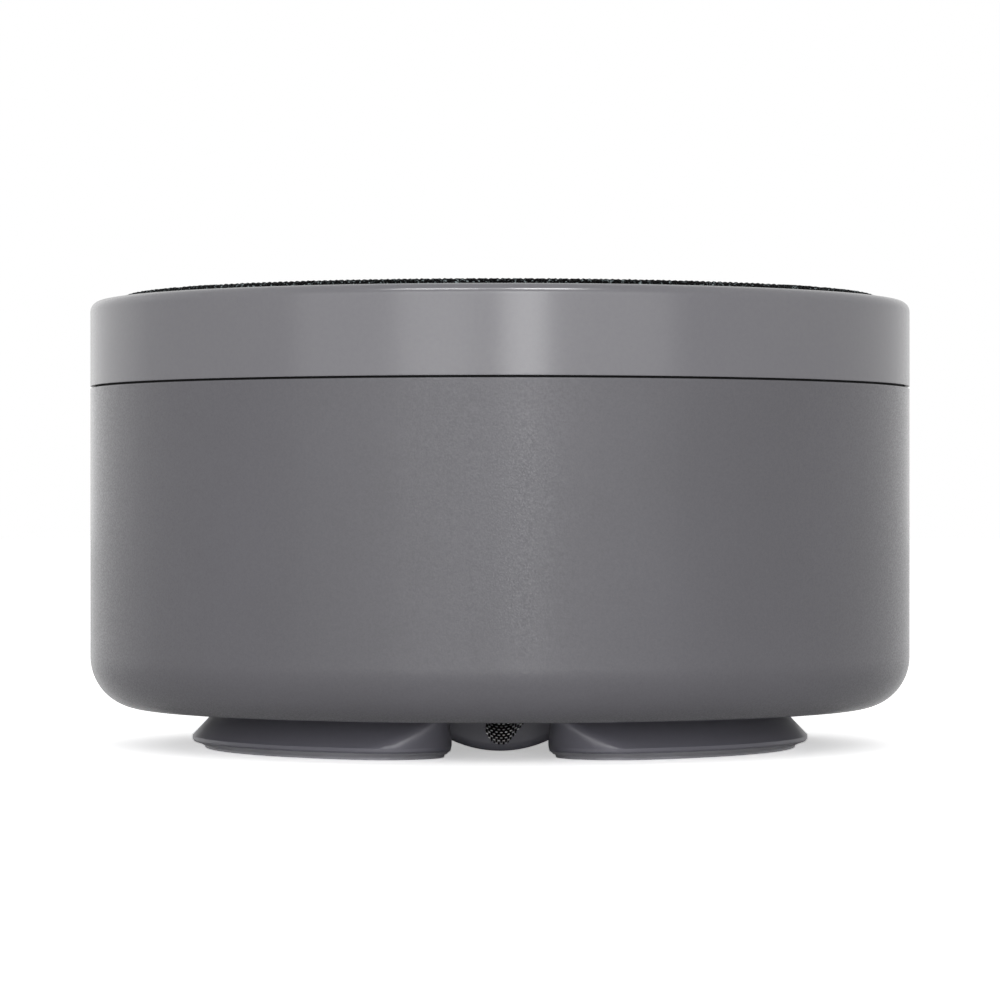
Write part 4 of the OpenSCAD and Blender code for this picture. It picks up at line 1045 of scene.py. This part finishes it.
def port_backing():
    """A dark sheet behind the mesh, set in the mouth of the port: painted shade for the dark
    inside of the port.
    """
    outline = mouth_outline(0.05)
    n = len(outline)
    shares = (1.0, 0.97, 0.6, 0.2)
    middle = (0.5, 3.2)
    points = []
    for share in shares:
        for x, z in outline:
            px, pz = middle[0] + (x - middle[0]) * share, middle[1] + (z - middle[1]) * share
            back = SHADE_SHEET_BACK + (SHADE_SHEET_EDGE_BACK if share == 1.0 else 0)
            points.append((px, dome_y(px, pz) + back, pz))
    faces = walls(n, len(shares))
    base = len(points)
    points += [(x, pod_front + SHADE_SHEET_DEEP, z) for x, z in outline]
    faces += [(i, (i + 1) % n, base + (i + 1) % n, base + i) for i in range(n)]
    faces.append(tuple(range((len(shares) - 1) * n, len(shares) * n)))
    faces.append(tuple(range(base, base + n)))
    return piece("port_backing", points, faces, port_shade_sheet, "mesh_wire")


port_backing()


# ---- Stage, lights and camera ----

def stage_material():
    """White floor that keeps the object's shadow: seen by the camera it is lifted
    towards white, and other rays meet plain white paint."""
    material, tree, _ = start_material("white_floor")
    path = add(tree, "ShaderNodeLightPath")
    paint = add(tree, "ShaderNodeBsdfPrincipled",
                {"Base Color": (0.85, 0.85, 0.85, 1.0), "Roughness": 0.2})
    seen = add(tree, "ShaderNodeBsdfDiffuse", {"Color": (0.9, 0.9, 0.9, 1.0)})
    glow = add(tree, "ShaderNodeEmission", {"Color": (1.0, 1.0, 1.0, 1.0), "Strength": 0.45})
    twice = add(tree, "ShaderNodeAddShader", {0: seen.outputs[0], 1: seen.outputs[0]})
    lifted = add(tree, "ShaderNodeAddShader", {0: twice.outputs[0], 1: glow.outputs[0]})
    both = add(tree, "ShaderNodeMixShader", {"Fac": path.outputs["Is Camera Ray"],
                                             1: paint.outputs[0], 2: lifted.outputs[0]})
    # From below the floor is clear, so that the underside can be looked at
    side = add(tree, "ShaderNodeNewGeometry")
    clear = add(tree, "ShaderNodeBsdfTransparent")
    floor_look = add(tree, "ShaderNodeMixShader", {"Fac": side.outputs["Backfacing"],
                                                   1: both.outputs[0], 2: clear.outputs[0]})
    return end_material(material, tree, floor_look)


FLOOR_R = 4.0
FLOOR_Z = -0.02 * MM
floor_mesh = bpy.data.meshes.new("floor")
floor_mesh.from_pydata([(-FLOOR_R, -FLOOR_R, FLOOR_Z), (FLOOR_R, -FLOOR_R, FLOOR_Z),
                        (FLOOR_R, FLOOR_R, FLOOR_Z), (-FLOOR_R, FLOOR_R, FLOOR_Z)],
                       [], [(0, 1, 2, 3)])
floor_mesh.materials.append(stage_material())
floor = placed("floor", floor_mesh)

world = bpy.data.worlds.new("studio")
bpy.context.scene.world = world
world.use_nodes = True
sky = world.node_tree
sky.nodes.clear()
path = add(sky, "ShaderNodeLightPath")
direct = add(sky, "ShaderNodeMath", {0: path.outputs["Is Camera Ray"],
                                     1: path.outputs["Is Glossy Ray"]}, operation="MAXIMUM")
shown = add(sky, "ShaderNodeMath", {0: direct.outputs[0], 1: path.outputs["Is Transmission Ray"]},
            operation="MAXIMUM")
ambient = add(sky, "ShaderNodeBackground", {"Color": (1.0, 1.0, 1.0, 1.0), "Strength": 0.41})
white = add(sky, "ShaderNodeBackground", {"Color": (1.0, 1.0, 1.0, 1.0), "Strength": 1.0})
lit = add(sky, "ShaderNodeMixShader", {"Fac": shown.outputs[0], 1: ambient.outputs[0],
                                       2: white.outputs[0]})
add(sky, "ShaderNodeOutputWorld", {"Surface": lit.outputs[0]})


def softbox(name, place, size, power, aim=(0, 0, 0.03)):
    """A soft rectangular lamp aimed at the object."""
    light = bpy.data.lights.new(name, "AREA")
    light.shape, light.size, light.size_y = "RECTANGLE", size[0], size[1]
    light.energy = power
    lamp = placed(name, light)
    lamp.location = place
    lamp.rotation_euler = (Vector(aim) - Vector(place)).to_track_quat("-Z", "Y").to_euler()
    return lamp


def strip(name, azimuth, width, power, low=0.0, high=0.7, far=1.3):
    """A tall softbox that stands at an azimuth from the camera's side, in degrees,
    and covers a width in degrees."""
    a = math.radians(azimuth)
    softbox(name, (far * math.sin(a), -far * math.cos(a), (low + high) / 2),
            (2 * far * math.tan(math.radians(width / 2)), high - low), power)


# The narrow pair draws the bright bands on the body, the wide pair fills its sides,
# and the last keeps the back from going dark: azimuth, width, power
for name, azimuth, width, power in (("left", -15, 26, 2.35), ("right", 6, 13, 3.4),
                                    ("left_wide", -32, 50, 2.7), ("right_wide", 26, 44, 2.9),
                                    ("left_behind", -140, 50, 0.6)):
    strip(name, azimuth, width, power)
softbox("top_left", (-0.29, -0.69, 1.06), (0.4, 0.12), 4.4)
softbox("top_right", (0.2, -0.72, 1.06), (0.32, 0.12), 5.2)
# These two only draw the fine line of light along the ring's shoulder
for name in ("top_left", "top_right"):
    bpy.data.objects[name].visible_diffuse = False

# The camera stands low in front of the object and looks almost level
CAMERA_FAR, CAMERA_Z = 0.540, 0.0286
CAMERA_TILT = 90.156    # degrees from straight down
camera = bpy.data.cameras.new("camera")
camera.lens, camera.sensor_width = 158.6, 36
camera.clip_start, camera.clip_end = 0.02, 50
view = placed("camera", camera)
view.location = (0, -CAMERA_FAR, CAMERA_Z)
view.rotation_euler = (math.radians(CAMERA_TILT), 0, 0)
bpy.context.scene.camera = view
bpy.context.scene.view_settings.view_transform = "Standard"
